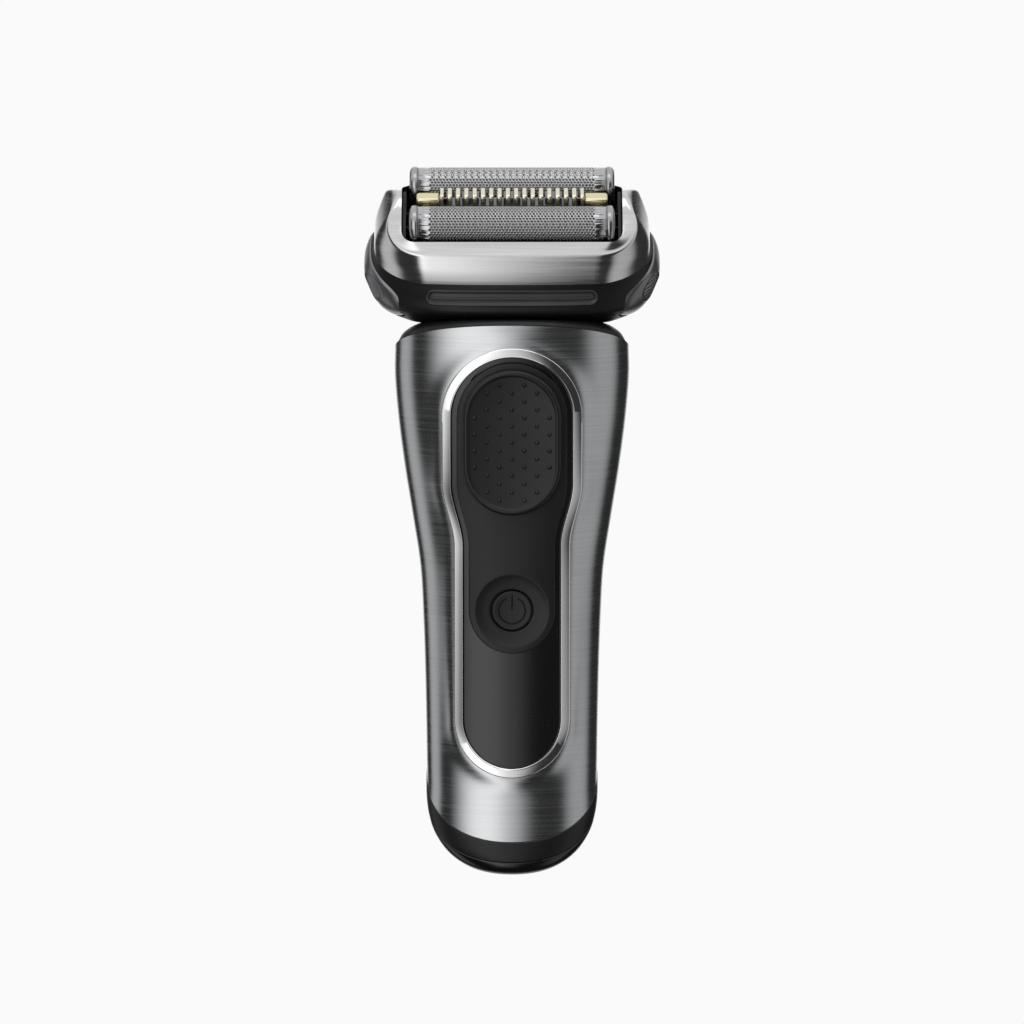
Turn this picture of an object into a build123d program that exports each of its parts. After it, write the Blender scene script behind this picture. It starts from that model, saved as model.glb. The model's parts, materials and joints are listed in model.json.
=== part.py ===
from build123d import *
from math import copysign, cos, pi, radians, sin, sqrt
import os

os.makedirs("parts", exist_ok=True)

# Foil shaver, millimetres. X to the right, the front faces -Y, Z up, the lower end touches Z = 0.

# ---------------------------------------------------------------- driving dimensions
WALL = 1.4                      # shell wall
TRAVEL_GAP = 0.35               # gap beside anything that moves
OVAL = 2.2                      # exponent of the handle's oval section

# handle sections: height on the axis, half width, half depth, slope of the section plane
HANDLE = [
    (4.0, 7.4, 5.1, 0.7),
    (5.4, 11.2, 7.65, 0.7),
    (8.4, 15.7, 10.75, 0.7),
    (12.4, 18.7, 12.8, 0.7),
    (16.4, 19.75, 13.4, 0.7),
    (24.0, 19.95, 13.5, 0.6),
    (36.0, 20.15, 13.7, 0.3),
    (48.0, 20.4, 13.8, 0.05),
    (60.0, 20.8, 14.1, 0.0),
    (72.0, 21.5, 14.6, 0.0),
    (84.0, 23.3, 15.4, 0.0),
    (96.0, 25.2, 16.4, 0.0),
    (108.0, 26.7, 17.2, 0.0),
    (117.5, 27.4, 17.6, -0.2),
    (123.1, 27.3, 17.5, -0.38),
]
TOP_Z, TOP_SLOPE = 123.1, -0.38          # plane of the metal's upper edge
LOW_Z, LOW_SLOPE = 22.5, 1.04            # plane of the metal's lower edge
CAP_Z, CAP_SLOPE = 15.9, 0.97            # plane of the joint in the lower cap
SIDE_SEAM_Y = 2.0                        # joint between front and rear shell

INLAY_TOP, INLAY_BOTTOM = 122.4, 25.8    # opening of the front inlay
UPPER_R, LOWER_R = 14.2, 11.4
SWELL_TOP, SWELL_BOTTOM = 92.7, 78.0
BEZEL_WIDTH, BEZEL_PROUD = 2.1, 0.9
PANEL_PROUD, PANEL_BACK = 0.3, 2.2

SLIDER_W, SLIDER_H, SLIDER_Z = 23.2, 34.1, 102.6
SLIDER_TRAVEL = 3.5
BUTTON_Z, BUTTON_R, DISH_R = 62.9, 4.65, 8.45
BUTTON_STROKE = 0.6

TILT = 32.0                              # forward lean of the head
HEAD_Y, HEAD_Z = -3.0, 147.4             # middle of the head's upper plane
PIVOT_Y, PIVOT_Z = 1.0, 138.0
SWING = 12

FOIL_R, FOIL_V, FOIL_H = 4.25, 7.6, 11.4
FOIL_HALF = 22.2
BLADE_HALF = 20.2
DRIVE_STROKE = 1.0
LIP_X, LIP_V = 25.5, 12.25

# ---------------------------------------------------------------- planes
SINE, COSINE = sin(radians(TILT)), cos(radians(TILT))
HEAD = Plane(origin=(0, HEAD_Y, HEAD_Z), x_dir=(1, 0, 0), z_dir=(0, -SINE, COSINE))
HEAD_FRONT = Plane(origin=(0, HEAD_Y, HEAD_Z), x_dir=(1, 0, 0), z_dir=(0, -COSINE, -SINE))
HEAD_SIDE = Plane(origin=(0, HEAD_Y, HEAD_Z), x_dir=(0, -COSINE, -SINE), z_dir=(-1, 0, 0))
END_SLOPE = HANDLE[0][3]
END_RUN = sqrt(1 + END_SLOPE ** 2)
END = Plane(origin=(0, 0, HANDLE[0][0]), x_dir=(1, 0, 0),
            z_dir=(0, -END_SLOPE / END_RUN, 1 / END_RUN))


# ---------------------------------------------------------------- shapes used more than once
def oval_points(half_x, half_y, power, count=24):
    """Points round a superellipse."""
    points = []
    for step in range(count):
        c = cos(2 * pi * step / count)
        s = sin(2 * pi * step / count)
        x = half_x * copysign(abs(c) ** (2 / power), c)
        y = half_y * copysign(abs(s) ** (2 / power), s)
        points.append((x, y))
    return points


def handle_form(inset):
    """The handle's outer form, drawn in by an inset."""
    with BuildPart() as form:
        for z, half_x, half_y, slope in HANDLE:
            run = sqrt(1 + slope ** 2)
            level = Plane(origin=(0, 0, z), x_dir=(1, 0, 0), z_dir=(0, -slope / run, 1 / run))
            with BuildSketch(level):
                with BuildLine():
                    Spline(*oval_points(half_x - inset, (half_y - inset) * run, OVAL), periodic=True)
                make_face()
        loft()
    return form.part


# head housing sections: y and z of the middle, lean of the plane, half width, half depth
HOUSING = [
    (-3.0, 147.4, 32, 32.6, 14.8),
    (-1.4, 144.9, 32, 33.8, 15.2),
    (0.1, 142.4, 31, 34.2, 15.4),
    (1.0, 139.2, 26, 33.2, 15.0),
    (1.1, 136.2, 20, 31.9, 13.5),
    (1.1, 133.6, 14, 30.2, 11.5),
    (0.9, 131.4, 9, 27.4, 9.2),
    (0.6, 129.8, 6, 23.8, 7.6),
]


def housing_form(inset, power=3.0):
    """The head housing's outer form, drawn in by an inset."""
    with BuildPart() as form:
        for y, z, lean, half_x, half_y in HOUSING:
            turn = radians(lean)
            level = Plane(origin=(0, y, z), x_dir=(1, 0, 0), z_dir=(0, -sin(turn), cos(turn)))
            with BuildSketch(level):
                with BuildLine():
                    Spline(*oval_points(half_x - inset, half_y - inset, power, 32), periodic=True)
                make_face()
        loft()
    return form.part


def side_region(points):
    """A slab as wide as the shaver, cut to an outline drawn in Y and Z."""
    with BuildPart() as slab:
        with BuildSketch(Plane.YZ):
            with BuildLine():
                Polyline(*points, close=True)
            make_face()
        extrude(amount=60, both=True)
    return slab.part


def on_plane(height, slope, y):
    """Point in Y and Z on one of the sloped section planes."""
    return (y, height + slope * y)


def inlay_outline(margin):
    """Outline of the front inlay, wide above and narrow below, grown by a margin."""
    wide = UPPER_R + margin
    narrow = LOWER_R + margin
    upper = INLAY_TOP - UPPER_R
    lower = INLAY_BOTTOM + LOWER_R
    with BuildSketch() as outline:
        with BuildLine():
            ThreePointArc((-wide, upper), (0, upper + wide), (wide, upper))
            Line((wide, upper), (wide, SWELL_TOP))
            Spline((wide, SWELL_TOP), (narrow, SWELL_BOTTOM), tangents=((0, -1), (0, -1)))
            Line((narrow, SWELL_BOTTOM), (narrow, lower))
            ThreePointArc((narrow, lower), (0, lower - narrow), (-narrow, lower))
            Line((-narrow, lower), (-narrow, SWELL_BOTTOM))
            Spline((-narrow, SWELL_BOTTOM), (-wide, SWELL_TOP), tangents=((0, 1), (0, 1)))
            Line((-wide, SWELL_TOP), (-wide, upper))
        make_face()
    return outline.sketch


def block(x0, x1, y0, y1, z0, z1, mode=Mode.ADD):
    """A box given by its limits."""
    with Locations(((x0 + x1) / 2, (y0 + y1) / 2, (z0 + z1) / 2)):
        Box(x1 - x0, y1 - y0, z1 - z0, mode=mode)


def head_block(x0, x1, v0, v1, h0, h1, mode=Mode.ADD):
    """A box given by its limits across, toward the front and up in the leaning head."""
    with Locations(HEAD.location):
        with Locations(((x0 + x1) / 2, -(v0 + v1) / 2, (h0 + h1) / 2)):
            Box(x1 - x0, v1 - v0, h1 - h0, mode=mode)


FORM = handle_form(0)
FORM_INSIDE = handle_form(WALL)
HOUSE = housing_form(0)

FRAME_Y, FRAME_Z = 1.78, -0.044       # puts the middle of the outer box over the origin
parts = []


def keep(node, label):
    """Move a finished piece into the shared frame, name it and write it out."""
    placed = node.part.moved(Location((0, FRAME_Y, FRAME_Z)))
    placed.label = label
    export_step(placed, "parts/" + label + ".step")
    parts.append(label)


# ---------------------------------------------------------------- handle shells
FRONT_EDGE, BACK_EDGE = -30, 30
FRONT_REGION = [
    on_plane(LOW_Z, LOW_SLOPE, FRONT_EDGE), on_plane(LOW_Z, LOW_SLOPE, SIDE_SEAM_Y),
    on_plane(TOP_Z, TOP_SLOPE, SIDE_SEAM_Y), on_plane(TOP_Z, TOP_SLOPE, FRONT_EDGE),
]
REAR_REGION = [
    on_plane(LOW_Z, LOW_SLOPE, SIDE_SEAM_Y), on_plane(LOW_Z, LOW_SLOPE, BACK_EDGE),
    on_plane(TOP_Z, TOP_SLOPE, BACK_EDGE), on_plane(TOP_Z, TOP_SLOPE, SIDE_SEAM_Y),
]
BAND_REGION = [
    on_plane(CAP_Z, CAP_SLOPE, FRONT_EDGE), on_plane(CAP_Z, CAP_SLOPE, BACK_EDGE),
    on_plane(LOW_Z, LOW_SLOPE, BACK_EDGE), on_plane(LOW_Z, LOW_SLOPE, FRONT_EDGE),
]
CAP_REGION = [
    on_plane(CAP_Z, CAP_SLOPE, BACK_EDGE), on_plane(CAP_Z, CAP_SLOPE, FRONT_EDGE), (BACK_EDGE, -40),
]

with BuildPart() as front_shell:
    add(FORM)
    add(FORM_INSIDE, mode=Mode.SUBTRACT)
    add(side_region(FRONT_REGION), mode=Mode.INTERSECT)
    with BuildSketch(Plane.XZ.offset(8)):
        add(inlay_outline(BEZEL_WIDTH))
    extrude(amount=20, mode=Mode.SUBTRACT)
keep(front_shell, "front_shell")

# rear shell with the bay of the pop-up trimmer
BAY_HALF, BAY_LOW, BAY_FLOOR, BAY_SKIN = 11.0, 79.0, 13.6, 1.3
SCREW_X, SCREW_Z = 9.0, 44.0
with BuildPart() as rear_shell:
    add(FORM)
    add(FORM_INSIDE, mode=Mode.SUBTRACT)
    block(-BAY_HALF - 1.2, BAY_HALF + 1.2, BAY_FLOOR - BAY_SKIN, 16.0, BAY_LOW - 1.2, 116.0)
    add(FORM, mode=Mode.INTERSECT)
    add(side_region(REAR_REGION), mode=Mode.INTERSECT)
    block(-BAY_HALF, BAY_HALF, BAY_FLOOR, 24.0, BAY_LOW, 130.0, mode=Mode.SUBTRACT)
    with Locations(Plane(origin=(0, 0, SCREW_Z), x_dir=(1, 0, 0), z_dir=(0, 1, 0))):
        with Locations((-SCREW_X, 0, 12), (SCREW_X, 0, 12)):
            Cylinder(2.2, 12, mode=Mode.SUBTRACT)
keep(rear_shell, "rear_shell")

with BuildPart() as base_band:
    add(FORM)
    add(FORM_INSIDE, mode=Mode.SUBTRACT)
    add(side_region(BAND_REGION), mode=Mode.INTERSECT)
keep(base_band, "base_band")

with BuildPart() as bottom_cap:
    add(FORM)
    add(FORM_INSIDE, mode=Mode.SUBTRACT)
    add(side_region(CAP_REGION), mode=Mode.INTERSECT)
keep(bottom_cap, "bottom_cap")

# ---------------------------------------------------------------- power inlet in the lower end
INLET_DEEP, INLET_W, INLET_H = 6.0, 9.0, 4.6
PIN_X, PIN_R, PIN_LONG, PIN_ROOT, PIN_ROOT_R = 2.3, 0.8, 4.6, 2.0, 0.6
with BuildPart() as power_inlet:
    with BuildSketch(END):
        with BuildLine():
            Spline(*oval_points(5.9, 4.4, OVAL), periodic=True)
        make_face()
    extrude(amount=INLET_DEEP + 2.5)
    with BuildSketch(END.offset(-0.5)):
        RectangleRounded(INLET_W, INLET_H, 1.6)
    extrude(amount=INLET_DEEP + 0.5, mode=Mode.SUBTRACT)
    with BuildSketch(END.offset(INLET_DEEP - 1)):
        with Locations((-PIN_X, 0), (PIN_X, 0)):
            Circle(PIN_ROOT_R)
    extrude(amount=5, mode=Mode.SUBTRACT)
    with BuildSketch(END.offset(INLET_DEEP - 1)):
        with Locations((-PIN_X, 0), (PIN_X, 0)):
            Circle(1.6)
    extrude(amount=1.3, mode=Mode.SUBTRACT)
keep(power_inlet, "power_inlet")

with BuildPart() as inlet_pins:
    with BuildSketch(END.offset(INLET_DEEP - PIN_LONG)):
        with Locations((-PIN_X, 0), (PIN_X, 0)):
            Circle(PIN_R)
    extrude(amount=PIN_LONG)
    with BuildSketch(END.offset(INLET_DEEP - 0.1)):
        with Locations((-PIN_X, 0), (PIN_X, 0)):
            Circle(PIN_ROOT_R)
    extrude(amount=PIN_ROOT + 0.1)
keep(inlet_pins, "inlet_pins")

# ---------------------------------------------------------------- front inlay
with BuildPart() as inlay_bezel:
    with BuildSketch(Plane.XZ.offset(8)):
        add(inlay_outline(BEZEL_WIDTH - 0.05))
        add(inlay_outline(0), mode=Mode.SUBTRACT)
    extrude(amount=20)
    add(handle_form(-BEZEL_PROUD), mode=Mode.INTERSECT)
    add(handle_form(3.0), mode=Mode.SUBTRACT)
keep(inlay_bezel, "inlay_bezel")

SEAM_LEVEL, SEAM_DROP = 58.0, 10.1
PANEL_FACE = handle_form(-PANEL_PROUD)
PANEL_REAR = handle_form(PANEL_BACK)
with BuildPart() as control_panel:
    with BuildSketch(Plane.XZ.offset(8)):
        add(inlay_outline(-0.05))
        with Locations((0, SEAM_LEVEL - 50)):
            Rectangle(60, 100, mode=Mode.SUBTRACT)
        with Locations((0, BUTTON_Z)):
            Ellipse(LOWER_R - 0.05, SEAM_DROP)
        with Locations((0, SLIDER_Z - SLIDER_TRAVEL / 2)):
            Rectangle(7.4, 12 + SLIDER_TRAVEL + 1.2, mode=Mode.SUBTRACT)
        with Locations((0, BUTTON_Z)):
            Circle(BUTTON_R + TRAVEL_GAP, mode=Mode.SUBTRACT)
    extrude(amount=20)
    add(PANEL_FACE, mode=Mode.INTERSECT)
    add(PANEL_REAR, mode=Mode.SUBTRACT)
    with Locations((0, -14.5 - 28.8, BUTTON_Z)):
        Sphere(30, mode=Mode.SUBTRACT)
keep(control_panel, "control_panel")

with BuildPart() as display_window:
    with BuildSketch(Plane.XZ.offset(8)):
        add(inlay_outline(-0.05))
        with Locations((0, SEAM_LEVEL - 0.1 + 50)):
            Rectangle(60, 100, mode=Mode.SUBTRACT)
        with Locations((0, BUTTON_Z)):
            Ellipse(LOWER_R + 0.1, SEAM_DROP + 0.12, mode=Mode.SUBTRACT)
    extrude(amount=20)
    add(PANEL_FACE, mode=Mode.INTERSECT)
    add(PANEL_REAR, mode=Mode.SUBTRACT)
keep(display_window, "display_window")

# thumb slider that locks the head
SLIDER_RISE = 2.6
with BuildPart() as lock_slider:
    with BuildSketch(Plane.XZ.offset(8)):
        with Locations((0, SLIDER_Z)):
            SlotOverall(SLIDER_H, SLIDER_W, rotation=90)
    extrude(amount=20)
    add(handle_form(-SLIDER_RISE), mode=Mode.INTERSECT)
    add(handle_form(-PANEL_PROUD - TRAVEL_GAP), mode=Mode.SUBTRACT)
    with Locations((0, -18.2 - 44, SLIDER_Z)):
        Sphere(44, mode=Mode.SUBTRACT)
    block(-3.2, 3.2, -17.6, -12.9, SLIDER_Z - 6, SLIDER_Z + 6)
keep(lock_slider, "lock_slider")

with BuildPart() as lock_rod:
    block(-4.5, 4.5, -12.9, -11.7, SLIDER_Z - 9, SLIDER_Z + 9)
    block(-2.0, 2.0, -12.9, -11.7, SLIDER_Z + 9, SLIDER_Z + 17)
    with Locations(Plane(origin=(0, -12.3, SLIDER_Z - 4), x_dir=(1, 0, 0), z_dir=(0, -1, 0))):
        Cylinder(1.3, 4, mode=Mode.SUBTRACT)
keep(lock_rod, "lock_rod")

with BuildPart() as detent_spring:
    with BuildSketch(Plane.YZ):
        with BuildLine():
            Spline((-11.2, SLIDER_Z - 14), (-11.2, SLIDER_Z - 4), (-10.4, SLIDER_Z + 4),
                   (-11.0, SLIDER_Z + 12))
            Line((-11.0, SLIDER_Z + 12), (-10.7, SLIDER_Z + 12))
            Spline((-10.7, SLIDER_Z + 12), (-10.1, SLIDER_Z + 4), (-10.9, SLIDER_Z - 4),
                   (-10.9, SLIDER_Z - 14))
            Line((-10.9, SLIDER_Z - 14), (-11.2, SLIDER_Z - 14))
        make_face()
    extrude(amount=2.5, both=True)
keep(detent_spring, "detent_spring")

# power button
BUTTON_FACE, BUTTON_REAR = -13.45, -10.9
with BuildPart() as power_button:
    with BuildSketch(Plane.XZ.offset(-BUTTON_FACE)):
        with Locations((0, BUTTON_Z)):
            Circle(BUTTON_R)
    extrude(amount=BUTTON_FACE - BUTTON_REAR)
    with BuildSketch(Plane.XZ.offset(-BUTTON_REAR)):
        with Locations((0, BUTTON_Z)):
            Circle(BUTTON_R + 1.3)
    extrude(amount=0.45)
    chamfer(power_button.faces().sort_by(Axis.Y)[0].edges(), 0.3)
keep(power_button, "power_button")

with BuildPart() as power_icon:
    with BuildSketch(Plane.XZ.offset(-BUTTON_FACE)):
        with Locations((0, BUTTON_Z)):
            Circle(3.2)
            Circle(2.75, mode=Mode.SUBTRACT)
            with Locations((0, 3)):
                Rectangle(2.0, 2.4, mode=Mode.SUBTRACT)
            with Locations((0, 2.4)):
                Rectangle(0.45, 3.4)
    extrude(amount=0.06)
keep(power_icon, "power_icon")

# ---------------------------------------------------------------- inside the handle
BOARD_FRONT, BOARD_REAR = -8.9, -7.9
with BuildPart() as circuit_board:
    block(-9.5, 9.5, BOARD_FRONT, BOARD_REAR, 36, 86)
    with Locations(Plane(origin=(0, 0, 0), x_dir=(1, 0, 0), z_dir=(0, -1, 0))):
        with Locations((-7.5, 38.5, 8.6), (7.5, 38.5, 8.6), (-7.5, 83.5, 8.6), (7.5, 83.5, 8.6)):
            Cylinder(1.0, 4, mode=Mode.SUBTRACT)
keep(circuit_board, "circuit_board")

with BuildPart() as board_chips:
    block(-6, 0, BOARD_FRONT - 0.9, BOARD_FRONT, 72, 78)
    block(2, 6, BOARD_FRONT - 0.7, BOARD_FRONT, 70, 74)
    block(-5, -2, BOARD_FRONT - 0.7, BOARD_FRONT, 52, 55)
    block(3, 6.5, BOARD_FRONT - 1.1, BOARD_FRONT, 77, 81)
keep(board_chips, "board_chips")

with BuildPart() as tactile_switch:
    block(-2.6, 2.6, BOARD_FRONT - 0.6, BOARD_FRONT, BUTTON_Z - 2.6, BUTTON_Z + 2.6)
    with Locations(Plane(origin=(0, BOARD_FRONT - 0.6, BUTTON_Z), x_dir=(1, 0, 0), z_dir=(0, -1, 0))):
        Cylinder(1.5, 0.4, align=(Align.CENTER, Align.CENTER, Align.MIN))
keep(tactile_switch, "tactile_switch")

with BuildPart() as status_leds:
    for step in range(5):
        block(-0.8, 0.8, BOARD_FRONT - 0.7, BOARD_FRONT, 38.6 + 2.6 * step, 39.6 + 2.6 * step)
keep(status_leds, "status_leds")

CELL_R, CELL_Y, CELL_LOW, CELL_LONG = 7.1, 1.8, 37.0, 49.0
with BuildPart() as battery_cell:
    with BuildSketch(Plane.XY.offset(CELL_LOW)):
        with Locations((0, CELL_Y)):
            Circle(CELL_R)
    extrude(amount=CELL_LONG)
    with BuildSketch(Plane.XY.offset(CELL_LOW + CELL_LONG)):
        with Locations((0, CELL_Y)):
            Circle(2.6)
    extrude(amount=0.9)
    fillet(battery_cell.edges().filter_by(GeomType.CIRCLE).sort_by(Axis.Z)[0], 0.6)
keep(battery_cell, "battery_cell")

with BuildPart() as cell_tabs:
    block(-3, 3, CELL_Y - 4, CELL_Y + 4, CELL_LOW - 0.4, CELL_LOW)
    block(-3, 3, CELL_Y - 4, CELL_Y + 4, CELL_LOW + CELL_LONG + 0.9, CELL_LOW + CELL_LONG + 1.3)
keep(cell_tabs, "cell_tabs")

CHASSIS_LOW, CHASSIS_HIGH = 34.6, 118.0
with BuildPart() as inner_chassis:
    block(-14, 14, BOARD_REAR, 11.0, CHASSIS_LOW, CHASSIS_HIGH)
    add(handle_form(WALL + 0.4), mode=Mode.INTERSECT)
    with BuildSketch(Plane.XY.offset(CELL_LOW - 0.6)):
        with Locations((0, CELL_Y)):
            Circle(CELL_R + 0.15)
    extrude(amount=CELL_LONG + 2.1, mode=Mode.SUBTRACT)
    block(-5.4, 5.4, -9, 0, CELL_LOW + 3, CELL_LOW + CELL_LONG - 3, mode=Mode.SUBTRACT)
    block(-10.5, 10.5, -9, 8.4, 92, 113.6, mode=Mode.SUBTRACT)
    with Locations(Plane(origin=(0, 0, SCREW_Z), x_dir=(1, 0, 0), z_dir=(0, 1, 0))):
        with Locations((-SCREW_X, 0, 10), (SCREW_X, 0, 10)):
            Cylinder(1.0, 6, mode=Mode.SUBTRACT)
keep(inner_chassis, "inner_chassis")

with BuildPart() as housing_screws:
    with Locations(Plane(origin=(0, 0, SCREW_Z), x_dir=(1, 0, 0), z_dir=(0, 1, 0))):
        with Locations((-SCREW_X, 0, 10.4), (SCREW_X, 0, 10.4)):
            Cylinder(2.1, 1.5, align=(Align.CENTER, Align.CENTER, Align.MIN))
            Cylinder(0.95, 3.0, align=(Align.CENTER, Align.CENTER, Align.MAX))
            with Locations((0, 0, 0.9)):
                Box(2.6, 0.6, 1.4, align=(Align.CENTER, Align.CENTER, Align.MIN), mode=Mode.SUBTRACT)
                Box(0.6, 2.6, 1.4, align=(Align.CENTER, Align.CENTER, Align.MIN), mode=Mode.SUBTRACT)
keep(housing_screws, "housing_screws")

# ---------------------------------------------------------------- collar and neck
DOME = [
    (TOP_Z, TOP_SLOPE, 26.9, 17.1),
    (126.0, -0.3, 25.3, 16.2),
    (128.0, -0.2, 22.9, 14.8),
    (130.0, -0.08, 19.4, 12.8),
]
HOUSE_SWEPT = housing_form(-0.45)
PIVOT = Axis((0, PIVOT_Y, PIVOT_Z), (1, 0, 0))
with BuildPart() as top_collar:
    for z, slope, half_x, half_y in DOME:
        run = sqrt(1 + slope ** 2)
        level = Plane(origin=(0, 0, z), x_dir=(1, 0, 0), z_dir=(0, -slope / run, 1 / run))
        with BuildSketch(level):
            with BuildLine():
                Spline(*oval_points(half_x, half_y * run, OVAL), periodic=True)
            make_face()
    loft()
    for turn in range(-SWING, SWING + 1, SWING // 2):
        add(HOUSE_SWEPT.rotate(PIVOT, turn), mode=Mode.SUBTRACT)
    block(-10.6, 10.6, -5.2, 7.2, 110, 140, mode=Mode.SUBTRACT)
    block(-BAY_HALF, BAY_HALF, BAY_FLOOR, 24.0, 100, 140, mode=Mode.SUBTRACT)
keep(top_collar, "top_collar")

POST_HALF, POST_R, PIN_BORE = 8.4, 3.4, 1.55
with BuildPart() as neck_post:
    block(-POST_HALF, POST_HALF, PIVOT_Y - POST_R, PIVOT_Y + POST_R, CHASSIS_HIGH, PIVOT_Z)
    with Locations(Plane(origin=(0, PIVOT_Y, PIVOT_Z), x_dir=(0, 1, 0), z_dir=(1, 0, 0))):
        Cylinder(POST_R, 2 * POST_HALF)
        Cylinder(PIN_BORE, 2 * POST_HALF + 2, mode=Mode.SUBTRACT)
    block(-12, 12, -7.0, 6.6, CHASSIS_HIGH, CHASSIS_HIGH + 2.0)
keep(neck_post, "neck_post")

# ---------------------------------------------------------------- pop-up trimmer at the rear
TRIM_LOW, TRIM_TOP = 80.0, 115.4
SLIDE_HALF, SLIDE_IN, SLIDE_OUT = 10.6, 13.95, 16.0
with BuildPart() as trimmer_slide:
    block(-SLIDE_HALF, SLIDE_HALF, SLIDE_IN, SLIDE_OUT - 0.6, TRIM_LOW, 105.0)
    block(-SLIDE_HALF, SLIDE_HALF, SLIDE_OUT - 0.6, SLIDE_OUT + 0.6, 97.0, 111.0)
    block(-SLIDE_HALF, -SLIDE_HALF + 0.8, SLIDE_IN, SLIDE_OUT - 0.6, 105.0, 111.0)
    block(SLIDE_HALF - 0.8, SLIDE_HALF, SLIDE_IN, SLIDE_OUT - 0.6, 105.0, 111.0)
    for step in range(4):
        narrow = 0.6 * step
        block(-6.0 + narrow, 6.0 - narrow, SLIDE_OUT - 0.6, SLIDE_OUT + 0.3,
              83.0 + 2.2 * step, 84.2 + 2.2 * step)
keep(trimmer_slide, "trimmer_slide")


def toothed_plate(half, y0, y1, z0, z1, pitch, slot):
    """A flat cutter plate with teeth along its upper edge."""
    with BuildPart() as plate:
        block(-half, half, y0, y1, z0, z1)
        count = int(2 * (half - pitch) / pitch)
        for step in range(count + 1):
            x = -pitch * count / 2 + pitch * step
            block(x - slot / 2, x + slot / 2, y0 - 1, y1 + 1, z1 - 2.2, z1 + 1, mode=Mode.SUBTRACT)
    return plate


trimmer_comb = toothed_plate(9.6, 14.0, 14.5, 105.0, TRIM_TOP, 1.4, 0.7)
keep(trimmer_comb, "trimmer_comb")
trimmer_blade = toothed_plate(8.4, 14.6, 15.1, 106.0, TRIM_TOP - 0.6, 1.2, 0.6)
keep(trimmer_blade, "trimmer_blade")

# ---------------------------------------------------------------- head housing
HOUSE_CAVITY = housing_form(1.5)
PAD_V, PAD_H, PAD_LEVEL = 12.6, 7.2, -8.0
SLOT_W, SLOT_HIGH, SLOT_LEVEL, SLOT_DEEP = 40.0, 3.4, -4.0, 1.0


def pad_prism(grow, near, far):
    """Oval block across one side of the head, between two distances from the middle."""
    with BuildPart() as prism:
        with BuildSketch(HEAD_SIDE.offset(near)):
            with BuildLine():
                Spline(*[(v, PAD_LEVEL + h) for v, h in
                         oval_points(PAD_V + grow, PAD_H + grow, 2.4)], periodic=True)
            make_face()
        extrude(amount=far - near)
    return prism.part


with BuildPart() as head_carrier:
    add(HOUSE)
    with BuildPart(mode=Mode.PRIVATE) as cavity:
        add(HOUSE_CAVITY)
        block(-60, 60, -60, 60, 131.6, 170, mode=Mode.INTERSECT)
    add(cavity.part, mode=Mode.SUBTRACT)
    head_block(-22, 22, 11.8, 14.0, -6.6, -1.2)
    head_block(-40, 40, -30, 30, 0.0, 20, mode=Mode.SUBTRACT)
    block(-12.8, -9.2, PIVOT_Y - 3.2, PIVOT_Y + 3.2, 130.6, PIVOT_Z + 3.0)
    block(9.2, 12.8, PIVOT_Y - 3.2, PIVOT_Y + 3.2, 130.6, PIVOT_Z + 3.0)
    block(-9.1, 9.1, PIVOT_Y - 6.4, PIVOT_Y + 6.4, 120, 133, mode=Mode.SUBTRACT)
    with Locations(Plane(origin=(0, PIVOT_Y, PIVOT_Z), x_dir=(0, 1, 0), z_dir=(1, 0, 0))):
        Cylinder(1.5, 30, mode=Mode.SUBTRACT)
    add(pad_prism(TRAVEL_GAP, 20.8, 40), mode=Mode.SUBTRACT)
    add(pad_prism(TRAVEL_GAP, 20.8, 40).mirror(Plane.YZ), mode=Mode.SUBTRACT)
    with BuildSketch(HEAD_FRONT.offset(14.3)):
        with Locations((0, SLOT_LEVEL)):
            SlotOverall(SLOT_W, SLOT_HIGH)
    extrude(amount=6, mode=Mode.SUBTRACT)
keep(head_carrier, "head_carrier")

with BuildPart() as slot_inlay:
    with BuildSketch(HEAD_FRONT.offset(14.3)):
        with Locations((0, SLOT_LEVEL)):
            SlotOverall(SLOT_W - 0.2, SLOT_HIGH - 0.2)
            SlotOverall(SLOT_W - 1.6, SLOT_HIGH - 1.4, mode=Mode.SUBTRACT)
    extrude(amount=0.55)
keep(slot_inlay, "slot_inlay")

with BuildPart() as drive_deck:
    add(housing_form(1.6))
    head_block(-28.6, 28.6, -13, 13, -2.4, -0.9, mode=Mode.INTERSECT)
    head_block(-40, 40, 11.6, 16, -8, 2, mode=Mode.SUBTRACT)
    for v in (-FOIL_V, 0, FOIL_V):
        head_block(-2.8, 2.8, v - 1.5, v + 1.5, -3, 0, mode=Mode.SUBTRACT)
    head_block(-25.5, -23.5, -2, 2, -7.0, -2.4)
    head_block(23.5, 25.5, -2, 2, -7.0, -2.4)
    add(pad_prism(0.3, 25.6, 40), mode=Mode.SUBTRACT)
    add(pad_prism(0.3, 25.6, 40).mirror(Plane.YZ), mode=Mode.SUBTRACT)
keep(drive_deck, "drive_deck")

with BuildPart() as motor_armature:
    head_block(-14, 14, -8.6, 8.6, -5.4, -3.4)
    head_block(-21, -14, -3.5, 3.5, -5.4, -3.4)
    head_block(14, 21, -3.5, 3.5, -5.4, -3.4)
keep(motor_armature, "motor_armature")

with BuildPart() as drive_pins:
    for v in (-FOIL_V, 0, FOIL_V):
        with Locations(HEAD.location):
            with Locations((0, v, -3.4)):
                Cylinder(0.9, 11.2, align=(Align.CENTER, Align.CENTER, Align.MIN))
keep(drive_pins, "drive_pins")

with BuildPart() as motor_stator:
    for side in (-1, 1):
        middle = 18.6 * side
        head_block(middle - 2.0, middle + 2.0, -4, 4, -9.6, -8.4)
        head_block(middle - 1.0, middle + 1.0, -2, 2, -8.4, -5.8)
keep(motor_stator, "motor_stator")

with BuildPart() as motor_coil:
    for side in (-1, 1):
        middle = 18.6 * side
        head_block(middle - 2.4, middle + 2.4, -4, 4, -8.4, -6.0)
        head_block(middle - 1.0, middle + 1.0, -2, 2, -8.4, -6.0, mode=Mode.SUBTRACT)
keep(motor_coil, "motor_coil")

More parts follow.
